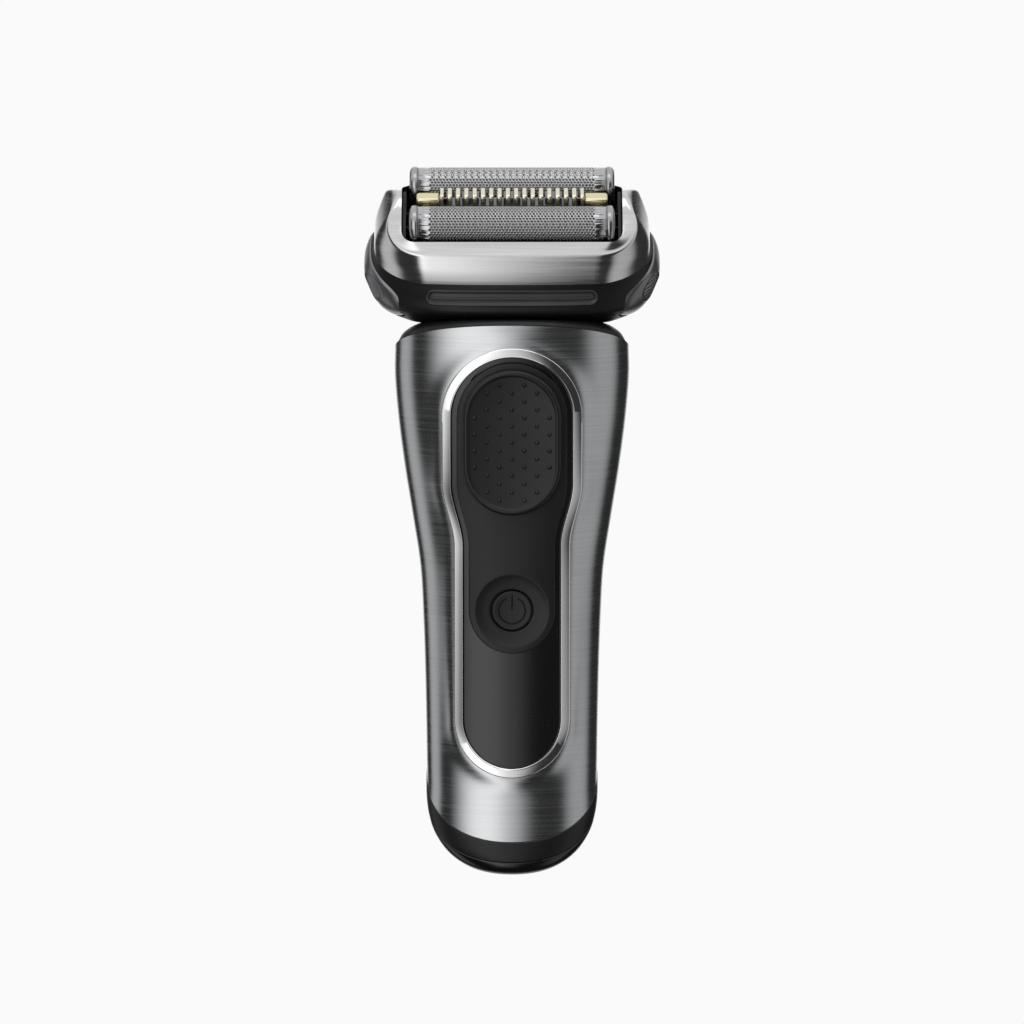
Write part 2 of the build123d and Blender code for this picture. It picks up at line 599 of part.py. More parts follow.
with BuildPart() as pivot_pin:
    with Locations(Plane(origin=(0, PIVOT_Y, PIVOT_Z), x_dir=(0, 1, 0), z_dir=(1, 0, 0))):
        Cylinder(1.5, 25.4)
keep(pivot_pin, "pivot_pin")

# ---------------------------------------------------------------- release buttons
PAD_SKIN = 1.5
PRESS = 1.2
SPRING_R, SPRING_WIRE = 1.5, 0.22
PAD_OUTER = housing_form(-0.2)
PAD_INNER = housing_form(PAD_SKIN)
DIMPLE_V, DIMPLE_LEVEL, DIMPLE_R = 7.4, -6.6, 3.3
with BuildPart() as finger_ring:
    with BuildSketch(HEAD_SIDE.offset(25)):
        with Locations((DIMPLE_V, DIMPLE_LEVEL)):
            Circle(DIMPLE_R)
            Circle(DIMPLE_R - 0.5, mode=Mode.SUBTRACT)
    extrude(amount=15)
    add(housing_form(0.1), mode=Mode.SUBTRACT)

with BuildPart() as release_pad_left:
    add(pad_prism(0, 22.4, 40))
    add(PAD_OUTER, mode=Mode.INTERSECT)
    add(PAD_INNER, mode=Mode.SUBTRACT)
    add(finger_ring.part, mode=Mode.SUBTRACT)
keep(release_pad_left, "release_pad_left")

LATCH_FAR, LATCH_NEAR = 30.4, 29.2
with BuildPart() as release_latch_left:
    head_block(-LATCH_FAR, -LATCH_NEAR, -3.5, 3.5, -5.0, 2.4)
    head_block(-32.8, -LATCH_NEAR, -3.5, 3.5, -6.2, -5.0)
    add(PAD_INNER, mode=Mode.INTERSECT)
keep(release_latch_left, "release_latch_left")

with BuildPart() as release_pad_right:
    add(release_pad_left.part.mirror(Plane.YZ))
keep(release_pad_right, "release_pad_right")

with BuildPart() as release_latch_right:
    add(release_latch_left.part.mirror(Plane.YZ))
keep(release_latch_right, "release_latch_right")


def coil(radius, wire, pitch, height):
    """A small compression spring standing on its own origin."""
    with BuildPart() as spring:
        with BuildLine() as path:
            Helix(pitch, height, radius)
        with BuildSketch(Plane(origin=path.line @ 0, z_dir=path.line % 0)):
            Circle(wire)
        sweep()
    return spring.part


COIL_NEAR, COIL_FAR = 25.8, 30.7
side_coil = coil(SPRING_R, SPRING_WIRE, 0.9, COIL_FAR - COIL_NEAR)
with BuildPart() as release_springs:
    with Locations(Location(HEAD.location * Location((COIL_NEAR, 0, -8.6), (0, 90, 0)))):
        add(side_coil)
    with Locations(Location(HEAD.location * Location((-COIL_NEAR, 0, -8.6), (0, -90, 0)))):
        add(side_coil)
keep(release_springs, "release_springs")

# ---------------------------------------------------------------- foil cassette
LIFT_GAP = 0.3
FRAME_LEVELS = [
    (LIFT_GAP, 64.2, 30.0, 12.4),
    (LIFT_GAP + 0.8, 64.2, 30.0, 12.4),
    (7.9, 61.4, 28.8, 9.8),
    (14.6, 55.6, 27.0, 7.0),
]
CREST = [(-17, 8.4), (-13.5, 9.0), (-11, 9.8), (-8, 11.0), (-4, 13.2), (0, 14.4),
         (4, 13.2), (8, 11.0), (11, 9.8), (13.5, 9.0), (17, 8.4)]
with BuildPart() as cassette_frame:
    for h, wide, deep, corner in FRAME_LEVELS:
        with BuildSketch(HEAD.offset(h)):
            RectangleRounded(wide, deep, corner)
    loft(ruled=True)
    with BuildSketch(HEAD_SIDE):
        with BuildLine():
            Spline(*CREST)
            Polyline(CREST[-1], (17, 30), (-17, 30), CREST[0])
        make_face()
    extrude(amount=60, both=True, mode=Mode.SUBTRACT)
    with BuildSketch(HEAD):
        RectangleRounded(2 * LIP_X, 2 * LIP_V, 3.0)
    extrude(amount=20, mode=Mode.SUBTRACT)
    head_block(-31.0, -27.2, -4.2, 4.2, 0, 3.0, mode=Mode.SUBTRACT)
    head_block(27.2, 31.0, -4.2, 4.2, 0, 3.0, mode=Mode.SUBTRACT)
keep(cassette_frame, "cassette_frame")

TRAY_LOW, TRAY_HIGH = 0.8, 1.8
with BuildPart() as foil_tray:
    with BuildSketch(HEAD.offset(TRAY_LOW)):
        RectangleRounded(2 * LIP_X - 0.1, 2 * LIP_V - 0.1, 2.9)
        for v in (-FOIL_V, 0, FOIL_V):
            with Locations((0, v)):
                Rectangle(6.0, 3.6, mode=Mode.SUBTRACT)
    extrude(amount=TRAY_HIGH - TRAY_LOW)
    for v in (-2.66, 2.66):
        head_block(-24.6, 24.6, v - 0.15, v + 0.15, TRAY_HIGH, 7.0)
    head_block(-25.3, -24.6, -9.0, 9.0, TRAY_HIGH, 8.6)
    head_block(24.6, 25.3, -9.0, 9.0, TRAY_HIGH, 8.6)
keep(foil_tray, "foil_tray")

LEG = FOIL_R * cos(radians(30))
KNEE = FOIL_H - FOIL_R * sin(radians(30))
FOIL_SKIN, FOIL_FOOT, CAP_OUT = 0.25, 5.2, 23.8


def arch(middle, radius, foot):
    """Arched section of a foil or blade, drawn across the head."""
    leg = radius * cos(radians(30))
    knee = FOIL_H - radius * sin(radians(30))
    with BuildSketch() as section:
        with BuildLine():
            ThreePointArc((middle - leg, knee), (middle, FOIL_H + radius), (middle + leg, knee))
            Polyline((middle + leg, knee), (middle + leg, foot), (middle - leg, foot),
                     (middle - leg, knee))
        make_face()
    return section.sketch


def foil(middle):
    """Thin arched foil, open below."""
    with BuildPart() as shell:
        with BuildSketch(HEAD_SIDE):
            add(arch(middle, FOIL_R, FOIL_FOOT))
            add(arch(middle, FOIL_R - FOIL_SKIN, FOIL_FOOT - 1), mode=Mode.SUBTRACT)
        extrude(amount=FOIL_HALF, both=True)
    return shell


def foil_caps(middle):
    """The two rounded end caps of one foil."""
    with BuildPart() as caps:
        with BuildSketch(HEAD_SIDE.offset(FOIL_HALF)):
            add(arch(middle, FOIL_R - 0.02, FOIL_FOOT))
        extrude(amount=CAP_OUT - FOIL_HALF - 0.6)
        with BuildSketch(HEAD_SIDE.offset(CAP_OUT - 0.6)):
            add(arch(middle, FOIL_R - 0.5, FOIL_FOOT))
        extrude(amount=0.6)
        mirror(about=Plane.YZ)
    return caps


def blades(middle):
    """Oscillating cutter block: thin arched ribs on a spine with a pocket for its drive pin."""
    rib, pitch = 0.7, 1.5
    with BuildPart() as block_of_blades:
        with BuildSketch(HEAD_SIDE):
            add(arch(middle, FOIL_R - FOIL_SKIN - 0.35, 6.4))
        extrude(amount=BLADE_HALF, both=True)
        count = int(2 * BLADE_HALF / pitch)
        for step in range(count):
            x = -BLADE_HALF + rib + pitch * step
            if x + pitch - rib < BLADE_HALF:
                head_block(x, x + pitch - rib, middle - 6, middle + 6, 11.0, 20, mode=Mode.SUBTRACT)
        with Locations(HEAD.location):
            with Locations((0, -middle, 6.0)):
                Cylinder(1.3, 4.0, align=(Align.CENTER, Align.CENTER, Align.MIN), mode=Mode.SUBTRACT)
    return block_of_blades


front_foil = foil(FOIL_V)
keep(front_foil, "front_foil")
rear_foil = foil(-FOIL_V)
keep(rear_foil, "rear_foil")
front_foil_caps = foil_caps(FOIL_V)
keep(front_foil_caps, "front_foil_caps")
rear_foil_caps = foil_caps(-FOIL_V)
keep(rear_foil_caps, "rear_foil_caps")
front_blades = blades(FOIL_V)
keep(front_blades, "front_blades")
rear_blades = blades(-FOIL_V)
keep(rear_blades, "rear_blades")

# middle trimmer between the foils
GUARD_X, GUARD_V, GUARD_TOP, BAR_OUT, BAR_TOP = 16.6, 2.1, 15.3, 22.2, 14.2
TOOTH_PITCH, TOOTH_SLOT = 1.92, 0.9
with BuildPart() as trimmer_guard:
    head_block(-GUARD_X, GUARD_X, -GUARD_V, GUARD_V, 6.6, GUARD_TOP)
    head_block(-GUARD_X - 1, GUARD_X + 1, -GUARD_V + 0.4, GUARD_V - 0.4, 5, GUARD_TOP - 0.5,
               mode=Mode.SUBTRACT)
    for step in range(17):
        x = TOOTH_PITCH * (step - 8)
        head_block(x - TOOTH_SLOT / 2, x + TOOTH_SLOT / 2, -4, 4, 12.6, 20, mode=Mode.SUBTRACT)
    head_block(-GUARD_X, GUARD_X, -0.5, 0.5, GUARD_TOP - 0.5, GUARD_TOP - 0.1)
keep(trimmer_guard, "trimmer_guard")

with BuildPart() as trimmer_bars:
    head_block(GUARD_X, BAR_OUT, -2.0, 2.0, 6.0, BAR_TOP)
    mirror(about=Plane.YZ)
keep(trimmer_bars, "trimmer_bars")

with BuildPart() as middle_blades:
    head_block(-15.2, 15.2, -1.35, 1.35, 6.4, GUARD_TOP - 0.9)
    for step in range(18):
        x = 1.6 * (step - 8.5)
        head_block(x - 0.45, x + 0.45, -4, 4, 12.2, 20, mode=Mode.SUBTRACT)
    with Locations(HEAD.location):
        with Locations((0, 0, 6.0)):
            Cylinder(1.15, 4.0, align=(Align.CENTER, Align.CENTER, Align.MIN), mode=Mode.SUBTRACT)
keep(middle_blades, "middle_blades")

float_coil = coil(1.1, 0.16, 0.8, 2.9)
with BuildPart() as foil_springs:
    for x in (-22.6, 22.6):
        for v in (-FOIL_V, FOIL_V):
            with Locations(Location(HEAD.location * Location((x, v, TRAY_HIGH + 0.3)))):
                add(float_coil)
keep(foil_springs, "foil_springs")

print(len(parts), "pieces written")
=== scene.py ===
# %% [markdown]
# # A foil shaver on a studio table
# The CAD frame already holds every piece at its real size and place. Each visible piece is
# drawn again here as a smooth surface worked out with numpy, because a reflection in brushed
# or polished metal shows every facet. Lengths below are millimetres in the maker's drawing,
# and one function turns them into metres in the shared frame.

import json
from math import cos, pi, radians, sin

import bmesh
import bpy
import numpy as np
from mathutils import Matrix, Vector


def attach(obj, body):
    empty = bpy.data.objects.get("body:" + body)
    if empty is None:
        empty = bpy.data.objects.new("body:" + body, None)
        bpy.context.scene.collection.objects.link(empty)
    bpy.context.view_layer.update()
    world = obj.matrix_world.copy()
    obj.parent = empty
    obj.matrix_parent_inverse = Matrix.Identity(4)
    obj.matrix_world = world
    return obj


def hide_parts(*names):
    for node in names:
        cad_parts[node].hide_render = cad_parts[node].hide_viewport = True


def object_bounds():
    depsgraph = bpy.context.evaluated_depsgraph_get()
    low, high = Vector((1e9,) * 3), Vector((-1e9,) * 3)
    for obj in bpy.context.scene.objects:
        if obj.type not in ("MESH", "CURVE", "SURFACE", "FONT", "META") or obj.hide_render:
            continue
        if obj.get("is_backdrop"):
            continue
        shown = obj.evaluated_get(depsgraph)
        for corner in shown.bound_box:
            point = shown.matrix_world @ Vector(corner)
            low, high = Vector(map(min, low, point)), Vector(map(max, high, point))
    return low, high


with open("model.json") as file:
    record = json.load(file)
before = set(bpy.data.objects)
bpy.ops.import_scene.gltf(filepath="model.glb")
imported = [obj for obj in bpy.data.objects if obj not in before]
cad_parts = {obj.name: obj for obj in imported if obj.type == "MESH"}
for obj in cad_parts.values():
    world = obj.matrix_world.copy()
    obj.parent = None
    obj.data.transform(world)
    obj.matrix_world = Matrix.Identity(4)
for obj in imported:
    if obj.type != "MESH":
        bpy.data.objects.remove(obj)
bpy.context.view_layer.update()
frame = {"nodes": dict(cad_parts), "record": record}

# %% [markdown]
# ## Drawing frame
# The handle is drawn round the Z axis. The head leans forward, so its pieces are drawn in its
# own three directions: across, toward the front, and up out of the foils. Two small functions
# carry both kinds of point into the shared frame.

# %% From millimetres to the shared frame
MM = 0.001
SHIFT = np.array([0.0, 1.78, -0.044])
LEAN = radians(32.0)
HEAD_ORIGIN = np.array([0.0, -3.0, 147.4])
HEAD_ACROSS = np.array([1.0, 0.0, 0.0])
HEAD_FRONT = np.array([0.0, -cos(LEAN), -sin(LEAN)])
HEAD_UP = np.array([0.0, -sin(LEAN), cos(LEAN)])


def points(x, y, z):
    """Stack three arrays, which may differ in shape, into an array of points."""
    return np.stack(np.broadcast_arrays(x, y, z), -1).astype(float)


def in_head(x, v, h):
    """Points of the leaning head: x across, v toward the front, h up out of the foils."""
    p = points(x, v, h)
    return HEAD_ORIGIN + p[..., :1] * HEAD_ACROSS + p[..., 1:2] * HEAD_FRONT + p[..., 2:] * HEAD_UP

# %% [markdown]
# ## From a grid to a mesh
# Every surface below is a grid of points: rows along one parameter, columns along the other.
# A grid can close on itself either way, and its first or last row can close to a pole. One
# function builds the faces of all of them with index arithmetic.

# %% Mesh builder
def grid_faces(rows, columns, around, through):
    """Corner indices of the quads of a rows x columns grid, closed in columns and rows if asked."""
    r = np.arange(rows if through else rows - 1)
    c = np.arange(columns if around else columns - 1)
    r, c = np.meshgrid(r, c, indexing="ij")
    r1, c1 = (r + 1) % rows, (c + 1) % columns
    quads = np.stack([r * columns + c, r * columns + c1, r1 * columns + c1, r1 * columns + c], -1)
    return quads.reshape(-1, 4)


def build(name, vertices, faces, outward=True):
    """A mesh object in metres from points in millimetres and lists of corners."""
    mesh = bpy.data.meshes.new(name)
    mesh.from_pydata(((vertices + SHIFT) * MM).tolist(), [], [list(map(int, f)) for f in faces])
    if outward:
        work = bmesh.new()
        work.from_mesh(mesh)
        bmesh.ops.remove_doubles(work, verts=work.verts, dist=1e-7)
        bmesh.ops.recalc_face_normals(work, faces=work.faces)
        work.to_mesh(mesh)
        work.free()
    mesh.polygons.foreach_set("use_smooth", [True] * len(mesh.polygons))
    piece = bpy.data.objects.new(name, mesh)
    bpy.context.scene.collection.objects.link(piece)
    return piece


def surface(name, grid, around=True, through=False, first_pole=False, last_pole=False):
    """A mesh from a grid of points; a pole closes a row of columns to its middle point."""
    rows, columns = grid.shape[:2]
    vertices = grid.reshape(-1, 3)
    faces = grid_faces(rows, columns, around, through).tolist()
    for wanted, row in ((first_pole, 0), (last_pole, rows - 1)):
        if wanted:
            middle = len(vertices)
            vertices = np.vstack([vertices, grid[row].mean(0)])
            start = row * columns
            faces += [[start + c, start + (c + 1) % columns, middle] for c in range(columns)]
    return build(name, vertices, faces)


def merged(name, *pieces):
    """Join several new meshes into one object."""
    vertices, faces, base = [], [], 0
    for piece in pieces:
        mesh = piece.data
        flat = np.empty(len(mesh.vertices) * 3)
        mesh.vertices.foreach_get("co", flat)
        vertices.append(flat.reshape(-1, 3) / MM - SHIFT)
        faces += [[base + v for v in polygon.vertices] for polygon in mesh.polygons]
        base += len(mesh.vertices)
        bpy.data.objects.remove(piece)
    return build(name, np.vstack(vertices), faces, outward=False)


def crisp(piece, degrees=35):
    """Keep edges sharper than an angle crisp under smooth shading."""
    mesh = piece.data
    work = bmesh.new()
    work.from_mesh(mesh)
    for edge in work.edges:
        edge.smooth = len(edge.link_faces) < 2 or edge.calc_face_angle(0) < radians(degrees)
    work.to_mesh(mesh)
    work.free()
    return piece


def finish(piece, body, nodes, material):
    """Put a finished piece on its body, hide the CAD nodes it stands for, and give it its finish."""
    piece.data.materials.clear()
    piece.data.materials.append(material)
    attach(piece, body)
    if nodes:
        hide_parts(*nodes)
    print(f"{piece.name}: {len(piece.data.polygons)} faces on {body}")


def cut(piece, *cutters):
    """Take closed cutters out of a piece for good."""
    for cutter in cutters:
        step = piece.modifiers.new("cut", "BOOLEAN")
        step.operation, step.solver, step.object = "DIFFERENCE", "EXACT", cutter
    bpy.context.view_layer.update()
    graph = bpy.context.evaluated_depsgraph_get()
    done = bpy.data.meshes.new_from_object(piece.evaluated_get(graph))
    piece.modifiers.clear()
    piece.data = done
    for cutter in cutters:
        bpy.data.objects.remove(cutter)
    piece.data.polygons.foreach_set("use_smooth", [True] * len(piece.data.polygons))
    return piece

# %% [markdown]
# ## Shader sums
# A finish is easier to read as a sum than as boxes and wires. This class holds one socket of a
# node tree. Adding or multiplying it adds a Math node; any other node comes from `node`.

# %% Sockets that add up
class Sock:
    """One output socket, with arithmetic that builds Math nodes."""

    def __init__(self, tree, socket):
        self.tree, self.socket = tree, socket

    def node(self, kind, settings=None, out=0, **inputs):
        """Add a node, set its settings, then its inputs by name or number, and return an output."""
        made = self.tree.nodes.new(kind)
        for key, value in (settings or {}).items():
            setattr(made, key, value)
        for key, value in inputs.items():
            socket = made.inputs[int(key[1:])] if key[0] == "i" and key[1:].isdigit() \
                else made.inputs[key.replace("_", " ")]
            if isinstance(value, Sock):
                self.tree.links.new(value.socket, socket)
            else:
                socket.default_value = value
        return Sock(self.tree, made.outputs[out])

    def maths(self, operation, a, b=0.0):
        return self.node("ShaderNodeMath", {"operation": operation}, i0=a, i1=b)

    def __add__(self, other): return self.maths("ADD", self, other)
    def __sub__(self, other): return self.maths("SUBTRACT", self, other)
    def __rsub__(self, other): return self.maths("SUBTRACT", other, self)
    def __mul__(self, other): return self.maths("MULTIPLY", self, other)

    def clamped(self, low, high, to_low=0.0, to_high=1.0, kind="LINEAR"):
        """Map low..high onto to_low..to_high and hold it there."""
        return self.node("ShaderNodeMapRange", {"clamp": True, "interpolation_type": kind}, Value=self,
                         From_Min=low, From_Max=high, To_Min=to_low, To_Max=to_high)

    def eased(self, *limits):
        """The same along a smooth step."""
        return self.clamped(*limits, kind="SMOOTHSTEP")


def material(name, colour, roughness=0.4, metallic=0.0, **fixed):
    """A principled material with fixed sockets, its shader node, and object coordinates."""
    made = bpy.data.materials.new(name)
    made.use_nodes = True
    tree = made.node_tree
    shader = tree.nodes["Principled BSDF"]
    shader.inputs["Base Color"].default_value = (*colour, 1)
    shader.inputs["Roughness"].default_value = roughness
    shader.inputs["Metallic"].default_value = metallic
    for key, value in fixed.items():
        shader.inputs[key.replace("_", " ")].default_value = value
    place = tree.nodes.new("ShaderNodeTexCoord")
    return made, shader, Sock(tree, place.outputs["Object"])


def feed(shader, **sockets):
    """Link values that change over the surface to the shader's sockets."""
    for key, sock in sockets.items():
        sock.tree.links.new(sock.socket, shader.inputs[key.replace("_", " ")])


def noise(place, scales, detail=2.0, roughness=0.5):
    """Noise in 0..1; the scales are cycles per metre along x, y and z."""
    spread = place.node("ShaderNodeMapping", {"vector_type": "POINT"}, Vector=place, Scale=scales)
    return place.node("ShaderNodeTexNoise", Vector=spread, Scale=1.0, Detail=detail,
                      Roughness=roughness)


def bump(height, strength, distance):
    """A bump normal from a height socket."""
    return height.node("ShaderNodeBump", Height=height, Strength=strength, Distance=distance)


def toned(place, factor, colour, low, high):
    """The colour between low and high times itself, by a factor socket."""
    dark, light = ((*(min(1.0, c * share) for c in colour), 1) for share in (low, high))
    return place.node("ShaderNodeMix", {"data_type": "RGBA"}, out=2, i0=factor, i6=dark, i7=light)

# %% [markdown]
# ## Finishes
# The handle is brushed sideways, so its streaks are long across and very fine up the handle.
# The frame of the foils is satin chrome, the ring round the inlay is polished. Black parts
# differ in gloss: soft-touch paint, fine moulded grain and a clear glossy window.

# %% Brushed and polished metal
def brushed(name, colour, rough, streak, depth, anisotropy=0.0):
    """Brushed metal: noise stretched across X gives streaks in roughness, colour and bump."""
    made, shader, place = material(name, colour, rough, 1.0, Anisotropic=anisotropy,
                                   Anisotropic_Rotation=0.25)
    fine = noise(place, (70, 70, streak), 3.0, 0.65)
    broad = noise(place, (25, 25, streak * 0.2))
    grain = fine * 0.6 + broad * 0.4
    feed(shader, Base_Color=toned(place, grain.clamped(0.3, 0.7), colour, 0.84, 1.1),
         Roughness=grain.clamped(0.3, 0.7, rough - 0.06, rough + 0.08),
         Normal=bump(grain, depth, 0.00003))
    return made


def metal(name, colour, rough, wear=0.03, scale=900):
    """Plain bright metal with faint uneven polish."""
    made, shader, place = material(name, colour, rough, 1.0)
    haze = noise(place, (scale,) * 3)
    feed(shader, Roughness=haze.clamped(0.3, 0.7, max(0.02, rough - wear), rough + wear),
         Normal=bump(haze, 0.05, 0.00002))
    return made


BRUSHED = brushed("brushed_steel", (0.55, 0.56, 0.57), 0.23, 11000, 0.12, 0.5)
POLISHED = metal("polished_ring", (0.80, 0.80, 0.81), 0.13)
SATIN = brushed("satin_chrome", (0.70, 0.70, 0.71), 0.16, 5000, 0.02)
FOIL = metal("foil_steel", (0.52, 0.52, 0.53), 0.18)
STEEL = metal("blade_steel", (0.28, 0.28, 0.29), 0.34)
CAP_METAL = metal("cap_metal", (0.42, 0.42, 0.43), 0.24)
CREAM = metal("pale_comb", (0.84, 0.80, 0.66), 0.26)
SPRING = metal("spring_steel", (0.5, 0.5, 0.5), 0.3)
GOLD = metal("pale_gold", (0.83, 0.76, 0.50), 0.24)
COPPER = metal("copper_wire", (0.7, 0.35, 0.18), 0.3)

# %% Black and grey plastics
def plastic(name, colour, rough, grain=0.1, scale=2600.0, **fixed):
    """Moulded plastic: fine even grain in bump and roughness, and a slight change of tone."""
    made, shader, place = material(name, colour, rough, 0.0, **fixed)
    fine = noise(place, (scale,) * 3, 2.0, 0.6)
    soft = noise(place, (60, 60, 60))
    feed(shader, Base_Color=toned(place, soft.clamped(0.35, 0.65), colour, 0.88, 1.12),
         Roughness=fine.clamped(0.3, 0.7, rough - 0.04, rough + 0.04),
         Normal=bump(fine, grain, 0.00004))
    return made


SOFT_BLACK = plastic("soft_touch_black", (0.010, 0.010, 0.0105), 0.46, 0.3, 4200, Specular_IOR_Level=0.4)
MATT_BLACK = plastic("matt_black", (0.009, 0.009, 0.0095), 0.4, 0.15, Specular_IOR_Level=0.4)
GLOSS_BLACK = plastic("gloss_black", (0.007, 0.007, 0.0075), 0.22, 0.03,
                      Coat_Weight=0.2, Coat_Roughness=0.1)
WINDOW_BLACK = plastic("window_black", (0.008, 0.008, 0.008), 0.26, 0.03,
                       Coat_Weight=0.3, Coat_Roughness=0.12)
GREY_PLASTIC = plastic("grey_plastic", (0.20, 0.20, 0.205), 0.38, 0.15)
BUTTON_GREY = plastic("button_grey", (0.24, 0.24, 0.25), 0.32, 0.12, 5000, Metallic=0.8)
PRINT_GREY = plastic("icon_grey", (0.0025, 0.0025, 0.0025), 0.5, 0.02, Specular_IOR_Level=0.2)
DARK_GREY = plastic("dark_grey_plastic", (0.07, 0.07, 0.072), 0.4, 0.12)
BOARD = plastic("board_green", (0.02, 0.12, 0.05), 0.35, 0.05)
CELL_BLUE = plastic("cell_sleeve", (0.03, 0.10, 0.35), 0.3, 0.05)
LED = plastic("led_clear", (0.5, 0.6, 0.7), 0.2, 0.02)
print("finishes made:", len(bpy.data.materials))

# %% [markdown]
# ## The handle's skin
# The handle is a stack of ovals. Each has a half width, a half depth and a lean of its plane,
# and a smooth curve through the listed ovals gives every level between them. A point of the
# skin is then a turn round the oval and a level up the handle. WALL is how thick the outer
# pieces are.

# %% Skin of the handle
OVAL, WALL = 2.2, 1.35
HANDLE = np.array([
    (4.0, 7.4, 5.1, 0.7), (5.4, 11.2, 7.65, 0.7), (8.4, 15.7, 10.75, 0.7),
    (12.4, 18.7, 12.8, 0.7), (16.4, 19.75, 13.4, 0.7), (24.0, 19.95, 13.5, 0.6),
    (36.0, 20.15, 13.7, 0.3), (48.0, 20.4, 13.8, 0.05), (60.0, 20.8, 14.1, 0.0),
    (72.0, 21.5, 14.6, 0.0), (84.0, 23.3, 15.4, 0.0), (96.0, 25.2, 16.4, 0.0),
    (108.0, 26.7, 17.2, 0.0), (117.5, 27.4, 17.6, -0.2), (123.1, 27.3, 17.5, -0.38),
])


def smooth_table(t, table):
    """Hermite curve through a table whose first column is t, with averaged slopes."""
    knots, values = table[:, 0], table[:, 1:]
    slopes = np.diff(values, axis=0) / np.diff(knots)[:, None]
    tangents = np.vstack([slopes[:1], (slopes[1:] + slopes[:-1]) / 2, slopes[-1:]])
    t = np.asarray(t, float)
    i = np.clip(np.searchsorted(knots, t, "right") - 1, 0, len(knots) - 2)
    step = (knots[i + 1] - knots[i])[..., None]
    s = np.clip((t - knots[i])[..., None] / step, 0, 1)
    return ((1 + 2 * s) * (1 - s) ** 2 * values[i] + s * (1 - s) ** 2 * step * tangents[i]
            + s * s * (3 - 2 * s) * values[i + 1] + s * s * (s - 1) * step * tangents[i + 1])


def measures(level, table):
    """The columns of a smooth table at some levels, one array each."""
    return np.moveaxis(smooth_table(level, table), -1, 0)


def power(value, exponent):
    """A power that keeps the sign of its base."""
    return np.sign(value) * np.abs(value) ** exponent


def skin(turn, level, lift=0.0):
    """Handle skin: x = a cos^(2/n), y = b sin^(2/n), z = level + lean y, grown by lift."""
    half_x, half_y, lean = measures(level, HANDLE)
    x = (half_x + lift) * power(np.cos(turn), 2 / OVAL)
    y = (half_y + lift) * power(np.sin(turn), 2 / OVAL)
    return points(x, y, level + lean * y)


def front_spot(x, z):
    """Turn and level of the front skin under a point seen from the front, by fixed-point steps."""
    level = np.array(z, float)
    for _ in range(14):
        half_x, half_y, lean = measures(level, HANDLE)
        across = np.clip(np.abs(x) / half_x, 0, 1)
        y = -half_y * (1 - across ** OVAL) ** (1 / OVAL)
        level = z - lean * y
    c = power(np.clip(x / half_x, -1, 1), OVAL / 2)
    s = -((-y / half_y) ** (OVAL / 2))
    return np.arctan2(s, c), level


def front_point(x, z, lift=0.0):
    """Point of the front skin, moved forward by lift, seen from the front at x and z."""
    return points(x, skin(*front_spot(x, z))[..., 1] - lift, z)


def sloped_level(turn, height, slope):
    """Level at which the skin meets the plane z = height + slope y, by fixed-point steps."""
    level = np.full(np.shape(turn), float(height))
    for _ in range(40):
        half_x, half_y, lean = measures(level, HANDLE)
        y = half_y * power(np.sin(turn), 2 / OVAL)
        level = 0.5 * level + 0.5 * (height + slope * y - lean * y)
    return level

# %% [markdown]
# ## The inlay's outline
# The front inlay is wide at the thumb and narrow at the grip. Its outline is an arc over the
# top, a soft S down each side and an arc under the bottom. Growing it by a margin gives the
# outer edge of the ring and the hole in the metal.

# %% Outline of the inlay
UPPER_R, LOWER_R = 14.2, 11.4
UPPER_Z, LOWER_Z = 108.2, 37.2
SWELL_TOP, SWELL_LOW = 92.7, 78.0
COUNTS = (72, 90, 56, 90)


def half_width(z, margin=0.0):
    """Half width of the straight part of the inlay: a smooth step between two radii."""
    t = np.clip((z - SWELL_LOW) / (SWELL_TOP - SWELL_LOW), 0, 1)
    return LOWER_R + (UPPER_R - LOWER_R) * t * t * (3 - 2 * t) + margin


def arc(radius, middle, start, stop, count):
    """Points (x, z) on part of a circle round a height."""
    a = np.linspace(start, stop, count, endpoint=False)
    return np.stack([radius * np.cos(a), middle + radius * np.sin(a)], -1)


def side_line(side, start, stop, margin, count):
    """Points (x, z) down or up one side of the outline."""
    z = np.linspace(start, stop, count, endpoint=False)
    return np.stack([side * half_width(z, margin), z], -1)


def inlay_loop(margin):
    """Closed outline: over the top from left to right, down, round the bottom, and up again."""
    top, right, bottom, left = COUNTS
    return np.vstack([arc(UPPER_R + margin, UPPER_Z, pi, 0, top),
                      side_line(1, UPPER_Z, LOWER_Z, margin, right),
                      arc(LOWER_R + margin, LOWER_Z, 0, -pi, bottom),
                      side_line(-1, LOWER_Z, UPPER_Z, margin, left)])

# %% [markdown]
# ## The metal front
# The brushed shell wraps the front and stops at a seam just behind its widest line. Its grid
# runs from the hole for the inlay out to the four edges, so every column starts on the ring
# and ends on an edge. Round the ring the metal is drawn up into a soft collar, as in deep
# drawn sheet, and each edge is rolled over before the wall turns inward.

# %% Front shell
SEAM_Y, BEZEL = 2.0, 2.1
LOW_EDGE, TOP_LEVEL = (22.5, 1.04), 123.1


def seam_turn(level, y, side):
    """Turn at which the skin has a given y on the right (+1) or left (-1) side."""
    half_y = smooth_table(level, HANDLE)[..., 1]
    s = power(y / half_y, OVAL / 2)
    turn = np.arcsin(np.clip(s, -1, 1))
    return turn if side > 0 else -pi - turn


